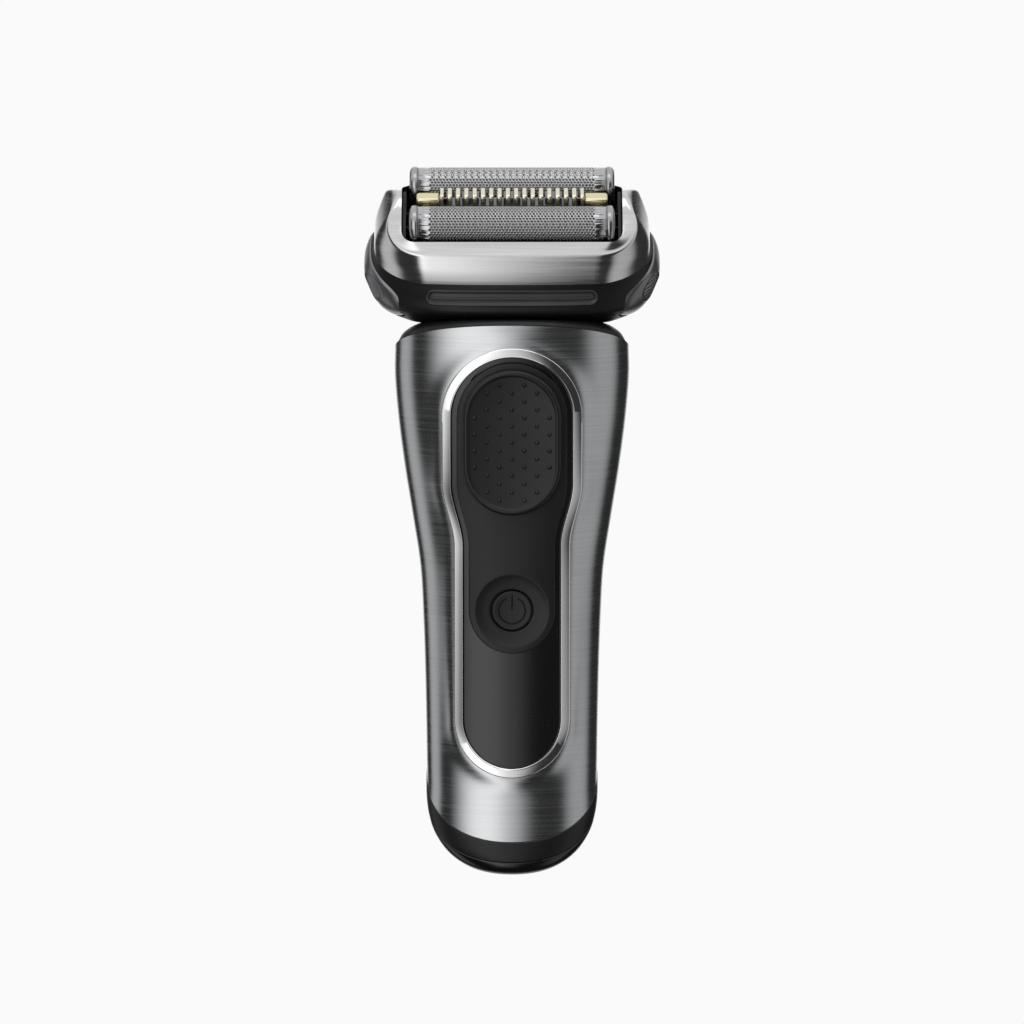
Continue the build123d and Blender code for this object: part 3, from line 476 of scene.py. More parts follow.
def shell_edge():
    """Turn and level of the shell's outer edges, matched part by part to the inlay outline."""
    top, right, bottom, left = COUNTS
    low = float(sloped_level(np.array(0.12), *LOW_EDGE))
    down = np.linspace(TOP_LEVEL, low, right, endpoint=False)
    up = np.linspace(low, TOP_LEVEL, left, endpoint=False)
    over = np.linspace(seam_turn(TOP_LEVEL, SEAM_Y, -1), seam_turn(TOP_LEVEL, SEAM_Y, 1), top,
                       endpoint=False)
    under = np.linspace(seam_turn(low, SEAM_Y, 1), seam_turn(low, SEAM_Y, -1), bottom, endpoint=False)
    turns = (over, seam_turn(down, SEAM_Y, 1), under, seam_turn(up, SEAM_Y, -1))
    levels = (np.full(top, TOP_LEVEL), down, sloped_level(under, *LOW_EDGE), up)
    return np.concatenate(turns), np.concatenate(levels)


def shell_grid():
    """Rows from the inlay hole to the outer edges, then back along the inside of the wall."""
    hole = inlay_loop(BEZEL - 0.15)
    inner_turn, inner_level = front_spot(hole[:, 0], hole[:, 1])
    outer_turn, outer_level = shell_edge()

    def between(t):
        """Turn and level a share t of the way from the hole to the edges."""
        return inner_turn + (outer_turn - inner_turn) * t, inner_level + (outer_level - inner_level) * t

    rows = []
    for t in np.concatenate([[0.0], np.linspace(0.0, 1.0, 25)[1:] ** 1.35]):
        spot = skin(*between(t))
        reach = np.hypot(spot[:, 0] - hole[:, 0], spot[:, 2] - hole[:, 1])
        rows.append(skin(*between(t), 0.55 * np.exp(-(reach / 2.6) ** 2)))
    rows += [skin(outer_turn, outer_level, -drop) for drop in (0.06, 0.18, 0.4, 1.3)]
    rows += [skin(*between(t), -WALL) for t in np.linspace(1.0, 0.0, 9)]
    return np.stack(rows)


front_shell = crisp(surface("front_shell_skin", shell_grid(), through=True), 50)
finish(front_shell, "handle", ["front_shell"], BRUSHED)

# %% [markdown]
# ## The ring round the inlay
# The ring is one cross-section carried round the outline: a thin bright lip on the inside,
# then a wide facet that rises a little outward and ends in a small rounded step. A profile
# swept along a path gives the same crisp facet everywhere.

# %% Polished ring
def outline_sweep(profile):
    """Carry a closed profile of (outward offset, lift) round the inlay outline."""
    return np.stack([front_point(*inlay_loop(offset).T, lift) for offset, lift in profile])


RING_PROFILE = [(0.0, -1.6), (0.0, 0.5), (0.05, 0.62), (0.14, 0.69), (0.26, 0.69), (0.38, 0.64),
                (1.85, 0.8), (2.0, 0.79), (2.1, 0.72), (2.16, 0.55), (2.16, -1.6)]
ring = crisp(surface("inlay_ring", outline_sweep(RING_PROFILE), through=True), 22)
finish(ring, "handle", ["inlay_bezel"], POLISHED)

# %% [markdown]
# ## Inside the ring
# Two black pieces fill the inlay. The lower one is a clear glossy window. The upper one is
# soft-touch and carries the slider and the button; it narrows to a tongue that ends in a U
# round the button, and it has a shallow dish there for the fingertip.

# %% Soft-touch tongue with its dish
BUTTON_Z, BUTTON_R = 62.9, 4.65
TONGUE_GAP, TONGUE_R = 1.35, 10.05


def ring_points(radius, y, count=96):
    """A circle round the button's axis at a given depth."""
    angle = np.linspace(0, 2 * pi, count, endpoint=False)
    return points(radius * np.cos(angle), y, BUTTON_Z + radius * np.sin(angle))


def tongue_loop(count=360):
    """Outline of the soft-touch tongue, by angle round the button, as a distance from it."""
    around = np.linspace(0, 2 * pi, count, endpoint=False) + pi / 2
    reach = np.zeros(count)
    for halving in range(60):
        trial = reach + 0.5 ** (halving / 3.0) * 40
        x, z = trial * np.cos(around), BUTTON_Z + trial * np.sin(around)
        over = np.hypot(x, z - UPPER_Z) < UPPER_R - TONGUE_GAP
        inside = np.where(z > UPPER_Z, over, np.abs(x) < half_width(z, -TONGUE_GAP))
        inside &= np.where(z < BUTTON_Z, trial < TONGUE_R, True)
        reach = np.where(inside, trial, reach)
    return around, reach


def tongue_grid():
    """Rows from the button hole out over the dish to the tongue's edge and back underneath."""
    around, reach = tongue_loop()
    hole = BUTTON_R + 0.3
    dish = ((hole, -1.6), (hole, -1.05), (hole + 0.12, -0.93), (hole + 0.6, -0.86), (6.4, -0.66),
            (7.2, -0.42), (7.9, -0.1), (8.25, 0.1), (8.45, 0.22), (8.65, 0.29), (8.9, 0.3))
    rows = [(np.minimum(radius, reach - 0.4), lift) for radius, lift in dish]
    rim = rows[-1][0]
    rows += [(rim * (1 - t) + (reach - 0.3) * t, 0.3) for t in np.linspace(0, 1, 40)[1:] ** 1.3]
    rows += [(reach - back, lift) for back, lift in ((0.12, 0.27), (0.03, 0.18), (0.0, 0.05), (0.0, -1.5))]
    return np.stack([front_point(radius * np.cos(around), BUTTON_Z + radius * np.sin(around), lift)
                     for radius, lift in rows])


tongue = crisp(surface("soft_tongue", tongue_grid(), through=True), 50)
finish(tongue, "handle", ["control_panel"], SOFT_BLACK)

# %% Black window under it
WINDOW_GAP, WINDOW_HOLE = 0.1, 6.15


def chord(radius, rise):
    """Half width of a circle at a distance from its middle."""
    return np.sqrt(np.clip(radius ** 2 - rise ** 2, 0, None))


def window_grid():
    """Rows across the inlay, front then back; the front steps down under the tongue."""
    low, high = LOWER_Z - LOWER_R + WINDOW_GAP, UPPER_Z + UPPER_R - WINDOW_GAP
    z = (low + high) / 2 - (high - low) / 2 * np.cos(np.linspace(0, pi, 300))
    wide = np.where(z > UPPER_Z, chord(UPPER_R - WINDOW_GAP, z - UPPER_Z), half_width(z, -WINDOW_GAP))
    wide = np.where(z < LOWER_Z, chord(LOWER_R - WINDOW_GAP, z - LOWER_Z), wide)[:, None]
    across = np.linspace(-1, 1, 61)
    x, z = wide * across, z[:, None] + 0 * across
    covered = (np.hypot(x, np.minimum(z - BUTTON_Z, 0)) < TONGUE_R - 0.8) & (np.abs(across) < 0.86)
    front = front_point(x, z, np.where(covered, -1.55, 0.02))
    return np.concatenate([front, front_point(x, z, -1.7)[:, ::-1]], 1)


drill = surface("drill", np.stack([ring_points(WINDOW_HOLE, y) for y in (-20.0, -8.0)]),
                first_pole=True, last_pole=True)
window = crisp(cut(surface("inlay_window", window_grid()), drill), 50)
finish(window, "handle", ["display_window"], WINDOW_BLACK)

# %% [markdown]
# ## Many small copies
# Grip dots, cutter teeth and ribs repeat one small closed shape. Each copy is a grid of points
# in one big array, and the faces of every copy come from the faces of the first.

# %% Copies of a grid
def copies(name, grids):
    """One mesh from an array copies x rows x columns x 3, each closed round and at both ends."""
    count, rows, columns = grids.shape[:3]
    ends = np.stack([grids[:, 0].mean(1), grids[:, -1].mean(1)], 1)
    vertices = np.concatenate([grids.reshape(count, -1, 3), ends], 1)
    quads = grid_faces(rows, columns, True, False)
    c = np.arange(columns)
    n = (c + 1) % columns
    first = np.stack([c, n, np.full(columns, rows * columns)], -1)
    last = np.stack([n + (rows - 1) * columns, c + (rows - 1) * columns,
                     np.full(columns, rows * columns + 1)], -1)
    base = (np.arange(count) * vertices.shape[1])[:, None, None]
    faces = (quads + base).reshape(-1, 4).tolist()
    faces += (first + base).reshape(-1, 3).tolist() + (last + base).reshape(-1, 3).tolist()
    return build(name, vertices.reshape(-1, 3), faces)

# %% [markdown]
# ## The thumb slider
# The slider is a stadium with a raised rim and a hollow for the thumb. Its rows are smaller
# and smaller stadiums, each with its own height above the handle. Small grip dots stand in
# staggered rows in the hollow, and each dot is its own little dome.

# %% Thumb slider
SLIDER_Z, SLIDER_W, SLIDER_H = 102.6, 11.6, 17.05


def stadium(half_w, half_h, count=160):
    """Closed stadium outline, taller than wide: two half circles joined by straight sides."""
    half_w = max(half_w, 1e-9)
    straight, arc = half_h - half_w, pi * half_w
    s = np.linspace(0, 2 * arc + 4 * straight, count, endpoint=False)
    bottom = arc + 2 * straight
    turned = np.where(s < bottom, s, s - 2 * straight) / half_w
    curved = (s < arc) | ((s >= bottom) & (s < 2 * arc + 2 * straight))
    left = (s >= arc) & (s < bottom)
    middle = np.where(s < arc, straight, -straight)
    x = np.where(curved, half_w * np.cos(turned), np.where(left, -half_w, half_w))
    z = np.where(curved, middle + half_w * np.sin(turned),
                 np.where(left, straight - (s - arc), s - 2 * arc - 3 * straight))
    return x, z


def hollow(x, z):
    """Height of the thumb hollow over the handle: deepest in the middle, level at the rim."""
    q = np.clip(np.hypot(x / 10.4, (np.abs(z) - 5.0).clip(0) / 10.9), 0, 1)
    return 0.57 + 1.6 * q ** 2.2


def slider_grid():
    """Rows of stadiums from the underside, over the rim and down into the hollow."""
    plan = [(1.2, 0.68), (0.25, 0.68), (0.02, 0.85), (0.0, 1.5), (0.1, 2.0), (0.35, 2.3), (0.65, 2.46),
            (0.95, 2.48), (1.2, 2.4), (1.4, 2.22)]
    plan += [(inset, None) for inset in np.linspace(1.6, SLIDER_W, 40)]
    rows = []
    for inset, lift in plan:
        x, z = stadium(SLIDER_W - inset, SLIDER_H - inset)
        rows.append(front_point(x, z + SLIDER_Z, hollow(x, z) if lift is None else lift))
    return np.stack(rows)


def grip_dots():
    """Small domes in staggered rows over the hollow."""
    column, row = np.meshgrid(np.arange(-3, 4), np.arange(-7, 8), indexing="ij")
    x, z = column * 2.9, row * 1.93
    wanted = ((column + row) % 2 == 0) & (np.hypot(x / 9.4, (np.abs(z) - 5.4).clip(0) / 8.8) < 1)
    x, z = x[wanted], z[wanted]
    angle = np.linspace(0, 2 * pi, 14, endpoint=False)
    rows = []
    for radius, rise in ((0.56, -0.05), (0.52, 0.08), (0.38, 0.2), (0.18, 0.27)):
        px = x[:, None] + radius * np.cos(angle)
        pz = z[:, None] + radius * np.sin(angle)
        rows.append(front_point(px, pz + SLIDER_Z, hollow(px, pz) + rise))
    return copies("slider_dots", np.stack(rows, 1))


slider = crisp(surface("thumb_slider_body", slider_grid(), first_pole=True), 40)
finish(slider, "thumb_slider", ["lock_slider"], MATT_BLACK)
finish(grip_dots(), "thumb_slider", [], MATT_BLACK)

# %% [markdown]
# ## The power button
# The button is a round cap with a softly dished face and a rolled edge. Its sign is a broken
# ring with a bar, drawn as a thin raised print that follows the face.

# %% Button and its sign
BUTTON_Y = -13.45


def button_face(radius):
    """Depth of the face: dished by 0.25 mm in the middle."""
    return BUTTON_Y + 0.25 * (1 - (radius / BUTTON_R) ** 2)


button_rows = [ring_points(r, y) for r, y in ((5.9, -10.95), (5.95, -11.35), (4.65, -11.4),
                                              (4.65, -13.0), (4.6, -13.25), (4.48, -13.4), (4.3, -13.44))]
button_rows += [ring_points(r, button_face(r)) for r in (3.9, 3.2, 2.4, 1.6, 0.8, 0.2)]
button = crisp(surface("power_button_cap", np.stack(button_rows), first_pole=True, last_pole=True), 50)
finish(button, "button", ["power_button"], SOFT_BLACK)


def print_strip(name, path_x, path_z, half):
    """A thin raised strip along a path on the button's face."""
    path = np.stack([path_x, path_z], -1)
    along = np.gradient(path, axis=0)
    along /= np.linalg.norm(along, axis=1, keepdims=True)
    side = np.stack([-along[:, 1], along[:, 0]], -1) * half
    rows = []
    for shift, rise in ((-1, -0.05), (-1, 0.03), (-0.7, 0.06), (0.7, 0.06), (1, 0.03), (1, -0.05)):
        spot = path + side * shift
        depth = button_face(np.hypot(*spot.T)) - rise
        rows.append(points(spot[:, 0], depth, spot[:, 1] + BUTTON_Z))
    return surface(name, np.stack(rows, 1), first_pole=True, last_pole=True)


angle = np.linspace(radians(90 + 24), radians(90 + 336), 90)
sign = merged("power_sign", print_strip("ring", 3.1 * np.cos(angle), 3.1 * np.sin(angle), 0.2),
              print_strip("bar", np.zeros(20), np.linspace(0.2, 3.7, 20), 0.2))
finish(sign, "button", ["power_icon"], PRINT_GREY)

# %% [markdown]
# ## Collar, band and cap
# The collar closes the handle under the head: a low dome whose middle sinks away so that the
# head can swing. The lower end is two black pieces with a slanted groove between them, cut at
# the same slant as the metal's lower edge.

# %% Collar
DOME = np.array([
    (0.0, 119.6, 24.6, 15.2, -0.38), (1.0, TOP_LEVEL - 0.1, 25.9, 16.2, -0.38),
    (1.4, TOP_LEVEL + 0.12, 26.75, 17.0, -0.38), (2.0, 124.3, 26.45, 16.85, -0.35),
    (3.0, 126.2, 25.3, 16.1, -0.29), (4.0, 128.1, 22.9, 14.8, -0.19), (5.0, 129.3, 19.9, 12.9, -0.08),
    (5.6, 129.4, 18.4, 11.6, -0.05), (6.2, 128.7, 16.8, 10.3, -0.02), (7.2, 127.6, 14.2, 8.8, 0.0),
    (8.0, 126.4, 11.6, 7.6, 0.0), (9.0, 121.0, 11.0, 7.2, 0.0), (10.0, 119.8, 20.0, 12.0, -0.2),
])


def dome_grid():
    """Ovals of the table; behind, the dome is flat where the rear trimmer passes."""
    rows = np.concatenate([[0, 1, 1.4], np.linspace(1.5, 9, 60), [10]])
    level, half_x, half_y, lean = measures(rows, DOME)[..., None]
    turn = np.linspace(0, 2 * pi, 192, endpoint=False)
    x, y = half_x * power(np.cos(turn), 2 / OVAL), half_y * power(np.sin(turn), 2 / OVAL)
    return points(x, np.where(np.abs(x) < 11.2, np.minimum(y, 13.55), y), level + lean * y)


collar = crisp(surface("collar_dome", dome_grid(), through=True), 40)
finish(collar, "handle", ["top_collar"], MATT_BLACK)

# %% Band and cap of the lower end
CAP_EDGE = (15.9, 0.97)


def slanted_ring(name, profile):
    """A closed ring of the handle's skin: rows are (height, slope, lift) of slanted planes."""
    turn = np.linspace(0, 2 * pi, 220, endpoint=False)
    rows = []
    for height, slope, lift in profile:
        level = np.full(220, height) if slope is None else sloped_level(turn, height, slope)
        rows.append(skin(turn, level, lift))
    return crisp(surface(name, np.stack(rows), through=True), 28)


low, slope = LOW_EDGE
cap_high, cap_slope = CAP_EDGE
band_profile = [(low - 0.05, slope, -1.3), (low - 0.05, slope, -0.15), (low - 0.2, slope, 0.1)]
band_profile += [(low - d, slope - (slope - cap_slope) * d / 6.6, 0.12) for d in np.linspace(0.5, 6.1, 10)]
band_profile += [(cap_high + 0.3, cap_slope, 0.05), (cap_high + 0.14, cap_slope, -0.1),
                 (cap_high + 0.1, cap_slope, -0.5), (cap_high + 0.1, cap_slope, -1.3)]
band = slanted_ring("base_band_ring", band_profile)
finish(band, "handle", ["base_band"], MATT_BLACK)

cap_profile = [(cap_high - 0.1, cap_slope, -WALL), (cap_high - 0.1, cap_slope, -0.5),
               (cap_high - 0.16, cap_slope, -0.08), (cap_high - 0.32, cap_slope, 0.04)]
cap_profile += [(cap_high - d, cap_slope - 0.02 * d, 0.05 + 0.03 * d) for d in np.linspace(0.6, 7.0, 12)]
cap_profile += [(8.5, 0.82, 0.2), (8.1, 0.81, 0.1)]
cap_profile += [(h, 0.7 + 0.1 * (h - 4) / 4, 0.02) for h in np.linspace(7.4, 4.0, 10)]
cap_profile += [(4.0, None, -0.4), (4.0, None, -WALL), (5.2, None, -WALL), (9.0, 0.8, -WALL)]
cap = slanted_ring("bottom_cap_shell", cap_profile)
finish(cap, "handle", ["bottom_cap"], GLOSS_BLACK)

# %% [markdown]
# ## The back of the handle
# The rear shell is soft black. Behind, a bay holds the long-hair trimmer: the skin steps in
# to a flat floor there, so columns and rows are placed exactly on the edges of the bay.

# %% Rear shell
BAY_X, BAY_LOW, BAY_FLOOR = 11.0, 79.0, 13.6
BESIDE, MIDST = np.linspace(0, 1, 30), np.linspace(0, 1, 34)
SHARE = np.concatenate([BESIDE, MIDST, BESIDE])
PART = np.repeat([0, 1, 2], [30, 34, 30])


def turn_at(level, x):
    """Turn on the rear half at which the skin has a given x."""
    half_x = smooth_table(level, HANDLE)[..., 0]
    return np.arccos(np.clip(power(x / half_x, OVAL / 2), -1, 1))


def rear_turns(level):
    """Turns from the right seam over both edges of the bay to the left seam, for level or levels."""
    edge, bay = seam_turn(level, SEAM_Y + 0.05, 1), turn_at(level, BAY_X)
    starts = np.choose(PART, (edge, bay, pi - bay))
    spans = np.choose(PART, (bay - edge, pi - 2 * bay, bay - edge))
    return starts + spans * SHARE


def rear_row(level, lift, floor=None):
    """One row across the back; where a floor is given, the bay steps in to it."""
    turn = rear_turns(level)
    row = skin(turn, np.full(turn.shape, float(level)), lift)
    if floor is not None:
        row[PART == 1, 1] = np.minimum(row[PART == 1, 1], floor)
    return row


def low_rear_row(t, lift):
    """A row that starts on the slanted lower edge and levels out as t goes from 0 to 1."""
    def rising(turn):
        slanted = sloped_level(turn, *LOW_EDGE)
        return slanted + 0.05 + (46.0 - slanted) * t

    first = np.concatenate([0.13 + 0.87 * BESIDE, 1 + (pi - 2) * MIDST, pi - 1 + 0.87 * BESIDE])
    turn = rear_turns(rising(first))
    return skin(turn, rising(turn), lift)


def rear_grid():
    """Outer rows from the lower edge to the upper one, then back along the inside."""
    rows = [low_rear_row(0.0, -1.3), low_rear_row(0.0, -0.15)]
    rows += [low_rear_row(t, 0.0) for t in np.linspace(0.008, 1, 16)]
    rows += [rear_row(z, 0) for z in np.linspace(48, BAY_LOW, 22)]
    rows += [rear_row(BAY_LOW + 0.01, 0, BAY_FLOOR)]
    rows += [rear_row(z, 0, BAY_FLOOR) for z in np.linspace(BAY_LOW + 1.5, TOP_LEVEL - 0.1, 34)]
    rows += [rear_row(TOP_LEVEL, -0.15, BAY_FLOOR - 0.1)]
    rows += [rear_row(z, -WALL, BAY_FLOOR - 1.25) for z in np.linspace(TOP_LEVEL, BAY_LOW - 1, 14)]
    rows += [rear_row(z, -WALL) for z in np.linspace(BAY_LOW - 1.2, 48, 8)]
    return np.stack(rows)


def closed_band(name, grid):
    """A grid closed in rows; its two sides are closed too, because the wall has a thickness."""
    rows, columns = grid.shape[:2]
    faces = grid_faces(rows, columns, False, True).tolist()
    for column in (0, columns - 1):
        faces.append([r * columns + column for r in range(rows)])
    return build(name, grid.reshape(-1, 3), faces)


rear_shell = crisp(closed_band("rear_shell_skin", rear_grid()), 40)
finish(rear_shell, "handle", ["rear_shell"], SOFT_BLACK)

# %% [markdown]
# ## The head's housing
# Below its flat top the housing narrows to the neck. Each level is a squarish oval in a plane
# of its own, leaning less and less toward the neck. The openings for the two side buttons and
# the slot in front are cut with closed cutters, and the cut is then kept as plain mesh.

# %% Housing
HOUSE = np.array([
    (0, -3.0, 147.4, 32, 32.6, 14.8), (1, -1.4, 144.9, 32, 33.8, 15.2),
    (2, 0.1, 142.4, 31, 34.2, 15.4), (3, 1.0, 139.2, 26, 33.2, 15.0),
    (4, 1.1, 136.2, 20, 31.9, 13.5), (5, 1.1, 133.6, 14, 30.2, 11.5),
    (6, 0.9, 131.4, 9, 27.4, 9.2), (7, 0.6, 129.8, 6, 23.8, 7.6)])
PAD_V, PAD_H, PAD_LEVEL = 12.6, 7.2, -8.0
PAD_OVAL = 2 / 2.4
SLOT_X, SLOT_Z, SLOT_ROW, SLOT_ROWS, SLOT_SAG = 20.0, 1.7, 1.56, 0.78, 0.36
HOUSE_BOW = 1.1


def house(turn, level, lift=0.0):
    """Housing skin: x = a cos^(2/3), v = b sin^(2/3) + bow in a plane that leans with the level."""
    y, z, lean, half_x, half_y = measures(level, HOUSE)
    lean = np.radians(lean)
    across = power(np.cos(turn), 2 / 3)
    bow = HOUSE_BOW * np.sign(np.sin(turn)) * (1 - across ** 2) ** 3
    v = (half_y + lift) * power(np.sin(turn), 2 / 3) + bow
    return points((half_x + lift) * across, y - v * np.cos(lean), z - v * np.sin(lean))


def house_front(x, level, lift=0.0):
    """Point of the housing's front at a given x and level."""
    half_x = smooth_table(level, HOUSE)[..., 3] + lift
    return house(np.arccos(np.clip(power(x / half_x, 1.5), -1, 1)), level, lift)


def house_side(v, h, lift):
    """Half width of the housing at v and h of the head, by halving the range of levels."""
    spot = in_head(0.0, v, h)
    low, high = np.zeros(spot.shape[:-1]), np.full(spot.shape[:-1], 7.0)
    for _ in range(26):
        level = (low + high) / 2
        y, z, lean, half_x, half_y = measures(level, HOUSE)
        lean = np.radians(lean)
        above = (spot[..., 2] - z) * np.cos(lean) - (spot[..., 1] - y) * np.sin(lean)
        low, high = np.where(above < 0, level, low), np.where(above < 0, high, level)
    across = np.abs((spot[..., 1] - y) * np.cos(lean) + (spot[..., 2] - z) * np.sin(lean))
    return (half_x + lift) * (1 - np.clip(across / (half_y + lift), 0, 1) ** 3) ** (1 / 3)


def house_grid():
    """Over the rim, down the outside, in through the neck opening and up the inside."""
    turn = np.linspace(0, 2 * pi, 320, endpoint=False)
    rows = [house(turn, t, lift) for t, lift in ((0.0, -1.45), (0.0, -0.25), (0.02, -0.08), (0.07, 0.0))]
    rows += [house(turn, t) for t in np.linspace(0.2, 6.9, 60)]
    rows += [house(turn, 6.97, -0.1), house(turn, 7.0, -0.4), house(turn, 7.0, -2.5)]
    hole = (9.1 * power(np.cos(turn), 0.25), 1.0 - 6.4 * power(np.sin(turn), 0.25))
    rows += [points(*hole, 129.9), points(*hole, 131.5), house(turn, 5.9, -3.2)]
    rows += [house(turn, t, -1.5) for t in np.linspace(5.6, 0.1, 26)]
    return np.stack(rows)


def oval(size_v, size_h, count):
    """Outline (v, h) of a side button, or of its opening."""
    a = np.linspace(0, 2 * pi, count, endpoint=False)
    return size_v * power(np.cos(a), PAD_OVAL), size_h * power(np.sin(a), PAD_OVAL)


def oval_block(grow, near, far):
    """Oval prism across one side of the head, between two distances from its middle."""
    v, h = oval(PAD_V + grow, PAD_H + grow, 96)
    return surface("prism", np.stack([in_head(x, v, PAD_LEVEL + h) for x in (near, far)]),
                   first_pole=True, last_pole=True)


def slot_row(inset, lift):
    """Stadium lying across the housing's front, at a lift over the skin."""
    z, x = stadium(SLOT_Z - inset, SLOT_X - inset, 144)
    row = SLOT_ROW - SLOT_SAG * (1 - (x / SLOT_X) ** 2) - z * SLOT_ROWS / SLOT_Z
    return house_front(x, row, lift)


shell = crisp(surface("head_housing", house_grid(), through=True), 60)
slot_tool = surface("slot_tool", np.stack([slot_row(0, lift) for lift in (2.0, 0.4, -0.3, -1.0)]),
                    first_pole=True, last_pole=True)
cut(shell, oval_block(0.3, 20.8, 45), oval_block(0.3, -45, -20.8), slot_tool)
finish(crisp(shell, 38), "head", ["head_carrier"], MATT_BLACK)

# %% Slot in front
SLOT_PLAN = ((0.03, -1.4), (0.03, -0.3), (0.06, -0.06), (0.16, 0.02), (0.3, 0.0), (0.75, -0.55),
             (0.82, -0.9), (1.0, -0.92), (1.08, -0.62), (1.2, -0.55), (1.45, -0.56), (1.7, -0.56),
             (1.7, -1.4), (0.9, -1.4))
slot = crisp(surface("slot_tray", np.stack([slot_row(*spot) for spot in SLOT_PLAN]), through=True), 30)
finish(slot, "head", ["slot_inlay"], DARK_GREY)

# %% [markdown]
# ## The side buttons
# Each button is an oval patch of the housing's own surface, a little proud of it. A round
# finger mark near the front is sunk into it and crossed by small ribs.

# %% Side buttons
MARK_V, MARK_H, MARK_R = 7.4, -6.6, 3.3


def pad_grid(side):
    """Rows of shrinking ovals: the back, the edge, and the outside with its finger mark."""
    edge_v, edge_h = oval(PAD_V, PAD_H, 300)
    plan = [(s, -1.45) for s in (0.02, 0.4, 0.8, 0.96)] + [(1.0, -1.3), (1.0, -0.1), (0.992, 0.08)]
    plan += [(0.975, 0.17), (0.95, 0.2)] + [(s, 0.2) for s in np.linspace(0.93, 0.02, 120)]
    s, lift = np.array(plan).T[..., None]
    v, h = s * edge_v, PAD_LEVEL + s * edge_h
    x = np.maximum(house_side(v, h, lift), 22.4)
    off = np.hypot(v - MARK_V, h - MARK_H) / MARK_R
    sunk = np.clip((1.0 - off) / 0.2, 0, 1)
    ribs = 0.13 * np.sin(2 * pi * (h - MARK_H) / 0.95) * np.clip((0.85 - off) / 0.1, 0, 1)
    shape = -0.38 * sunk * sunk * (3 - 2 * sunk) + ribs + 0.1 * np.exp(-((off - 1.06) / 0.07) ** 2)
    x = x + np.where(lift > 0.15, shape, 0)
    return in_head(side * x, v, h)


for side, word in ((-1, "left"), (1, "right")):
    pad = crisp(surface(f"side_button_{word}", pad_grid(side), first_pole=True, last_pole=True), 60)
    finish(pad, f"{word}_release", [f"release_pad_{word}"], BUTTON_GREY)

# %% [markdown]
# ## The bright frame of the foils
# The frame is a loop of rounded rectangles that lean inward as they rise. Its crest is a
# saddle, high at the two ends and low in front and behind, so the height of each row follows
# the place of its points along the head. A flat lip turns in to the opening for the foils.

# %% Foil frame
LOOP = [(0, 90, 1, 1, 1, 1, 22), (90, 90, 1, -1, 1, 1, 40), (90, 180, -1, -1, 1, 1, 22),
        (180, 180, -1, -1, 1, -1, 24), (180, 270, -1, -1, -1, -1, 22), (270, 270, -1, 1, -1, -1, 40),
        (270, 360, 1, 1, -1, -1, 22), (360, 360, 1, 1, -1, 1, 24)]
ARC, FX, FV = np.concatenate([np.stack([np.linspace(radians(a0), radians(a1), n, endpoint=False),
                                        np.linspace(x0, x1, n, endpoint=False),
                                        np.linspace(v0, v1, n, endpoint=False)], 1)
                              for a0, a1, x0, x1, v0, v1, n in LOOP]).T
FRAME = np.array([(0.3, 32.1, 15.0, 12.4), (1.3, 32.1, 15.0, 12.4), (4.3, 31.8, 14.85, 11.8),
                  (7.9, 30.7, 14.4, 10.4), (11.4, 29.2, 13.9, 8.8), (13.6, 27.9, 13.6, 7.6),
                  (14.7, 26.9, 13.5, 7.0), (16.0, 26.2, 13.4, 6.6)])
FRAME_FOOT, OPENING = 0.3, (25.5, 12.25, 3.0)
OUTER_CREST = np.array([(-17, 5.5), (-14.5, 6.2), (-13, 7.1), (-11, 7.8), (-8, 9.7), (-4, 13.1),
                        (0, 15.1), (4, 14.1), (8, 11.0), (11, 9.2), (13, 8.4), (14.5, 8.1), (17, 7.9)])
INNER_CREST = np.array([(-17, 6.6), (-14.5, 7.3), (-12.25, 8.2), (-11, 8.7), (-8, 10.3), (-4, 13.4),
                        (0, 15.2), (4, 14.2), (8, 11.6), (11, 10.3), (12.25, 10.0), (14.5, 9.6),
                        (17, 9.4)])


def crest(v, table):
    """Height of the saddle at a distance from the middle of the head."""
    return smooth_table(v, table)[..., 0]


def box_loop(half_x, half_v, corner):
    """Rounded rectangle with a fixed number of points on each side and corner."""
    return FX * (half_x - corner) + corner * np.cos(ARC), FV * (half_v - corner) + corner * np.sin(ARC)


def wall_row(s, inset=0.0, drop=0.0):
    """Row of the leaning wall, a share s of the way up to the crest."""
    h = np.full(ARC.shape, 4.0)
    for _ in range(12):
        half_x, half_v, corner = smooth_table(h, FRAME).T
        x, v = box_loop(half_x - inset, half_v - inset, corner - inset)
        h = FRAME_FOOT + s * (crest(v, OUTER_CREST) - FRAME_FOOT)
    toward = np.sign(v) * (np.abs(v) / half_v).clip(0, 1) ** 4
    bow = (1.2 - 0.4 * s) * (1 - (x / half_x) ** 2).clip(0) * toward
    return in_head(x, v + bow, h - drop)


def frame_grid():
    """Up the outside, over the rounded edge, in along the lip and down the opening."""
    rows = [wall_row(0, 0.5), wall_row(0.0, 0.12), wall_row(0.012)]
    rows += [wall_row(s) for s in np.linspace(0.04, 0.93, 30)]
    rows += [wall_row(0.955, 0.02), wall_row(0.975, 0.09), wall_row(0.99, 0.22), wall_row(1.0, 0.45)]
    x, v = box_loop(*OPENING)
    top = crest(v, INNER_CREST)
    edge, lip = rows[-1], in_head(x, v, top)
    rows += [edge + (lip - edge) * t for t in (0.25, 0.5, 0.72, 0.9, 0.96)]
    rows += [in_head(x, v, top - d) for d in (0.12, 0.5)]
    rows += [in_head(x, v, FRAME_FOOT + (top - 0.8) * t) for t in (0.75, 0.5, 0.25, 0.0)]
    return np.stack(rows)


foil_frame = crisp(surface("foil_frame", frame_grid(), through=True), 32)
finish(foil_frame, "cassette", ["cassette_frame"], SATIN)

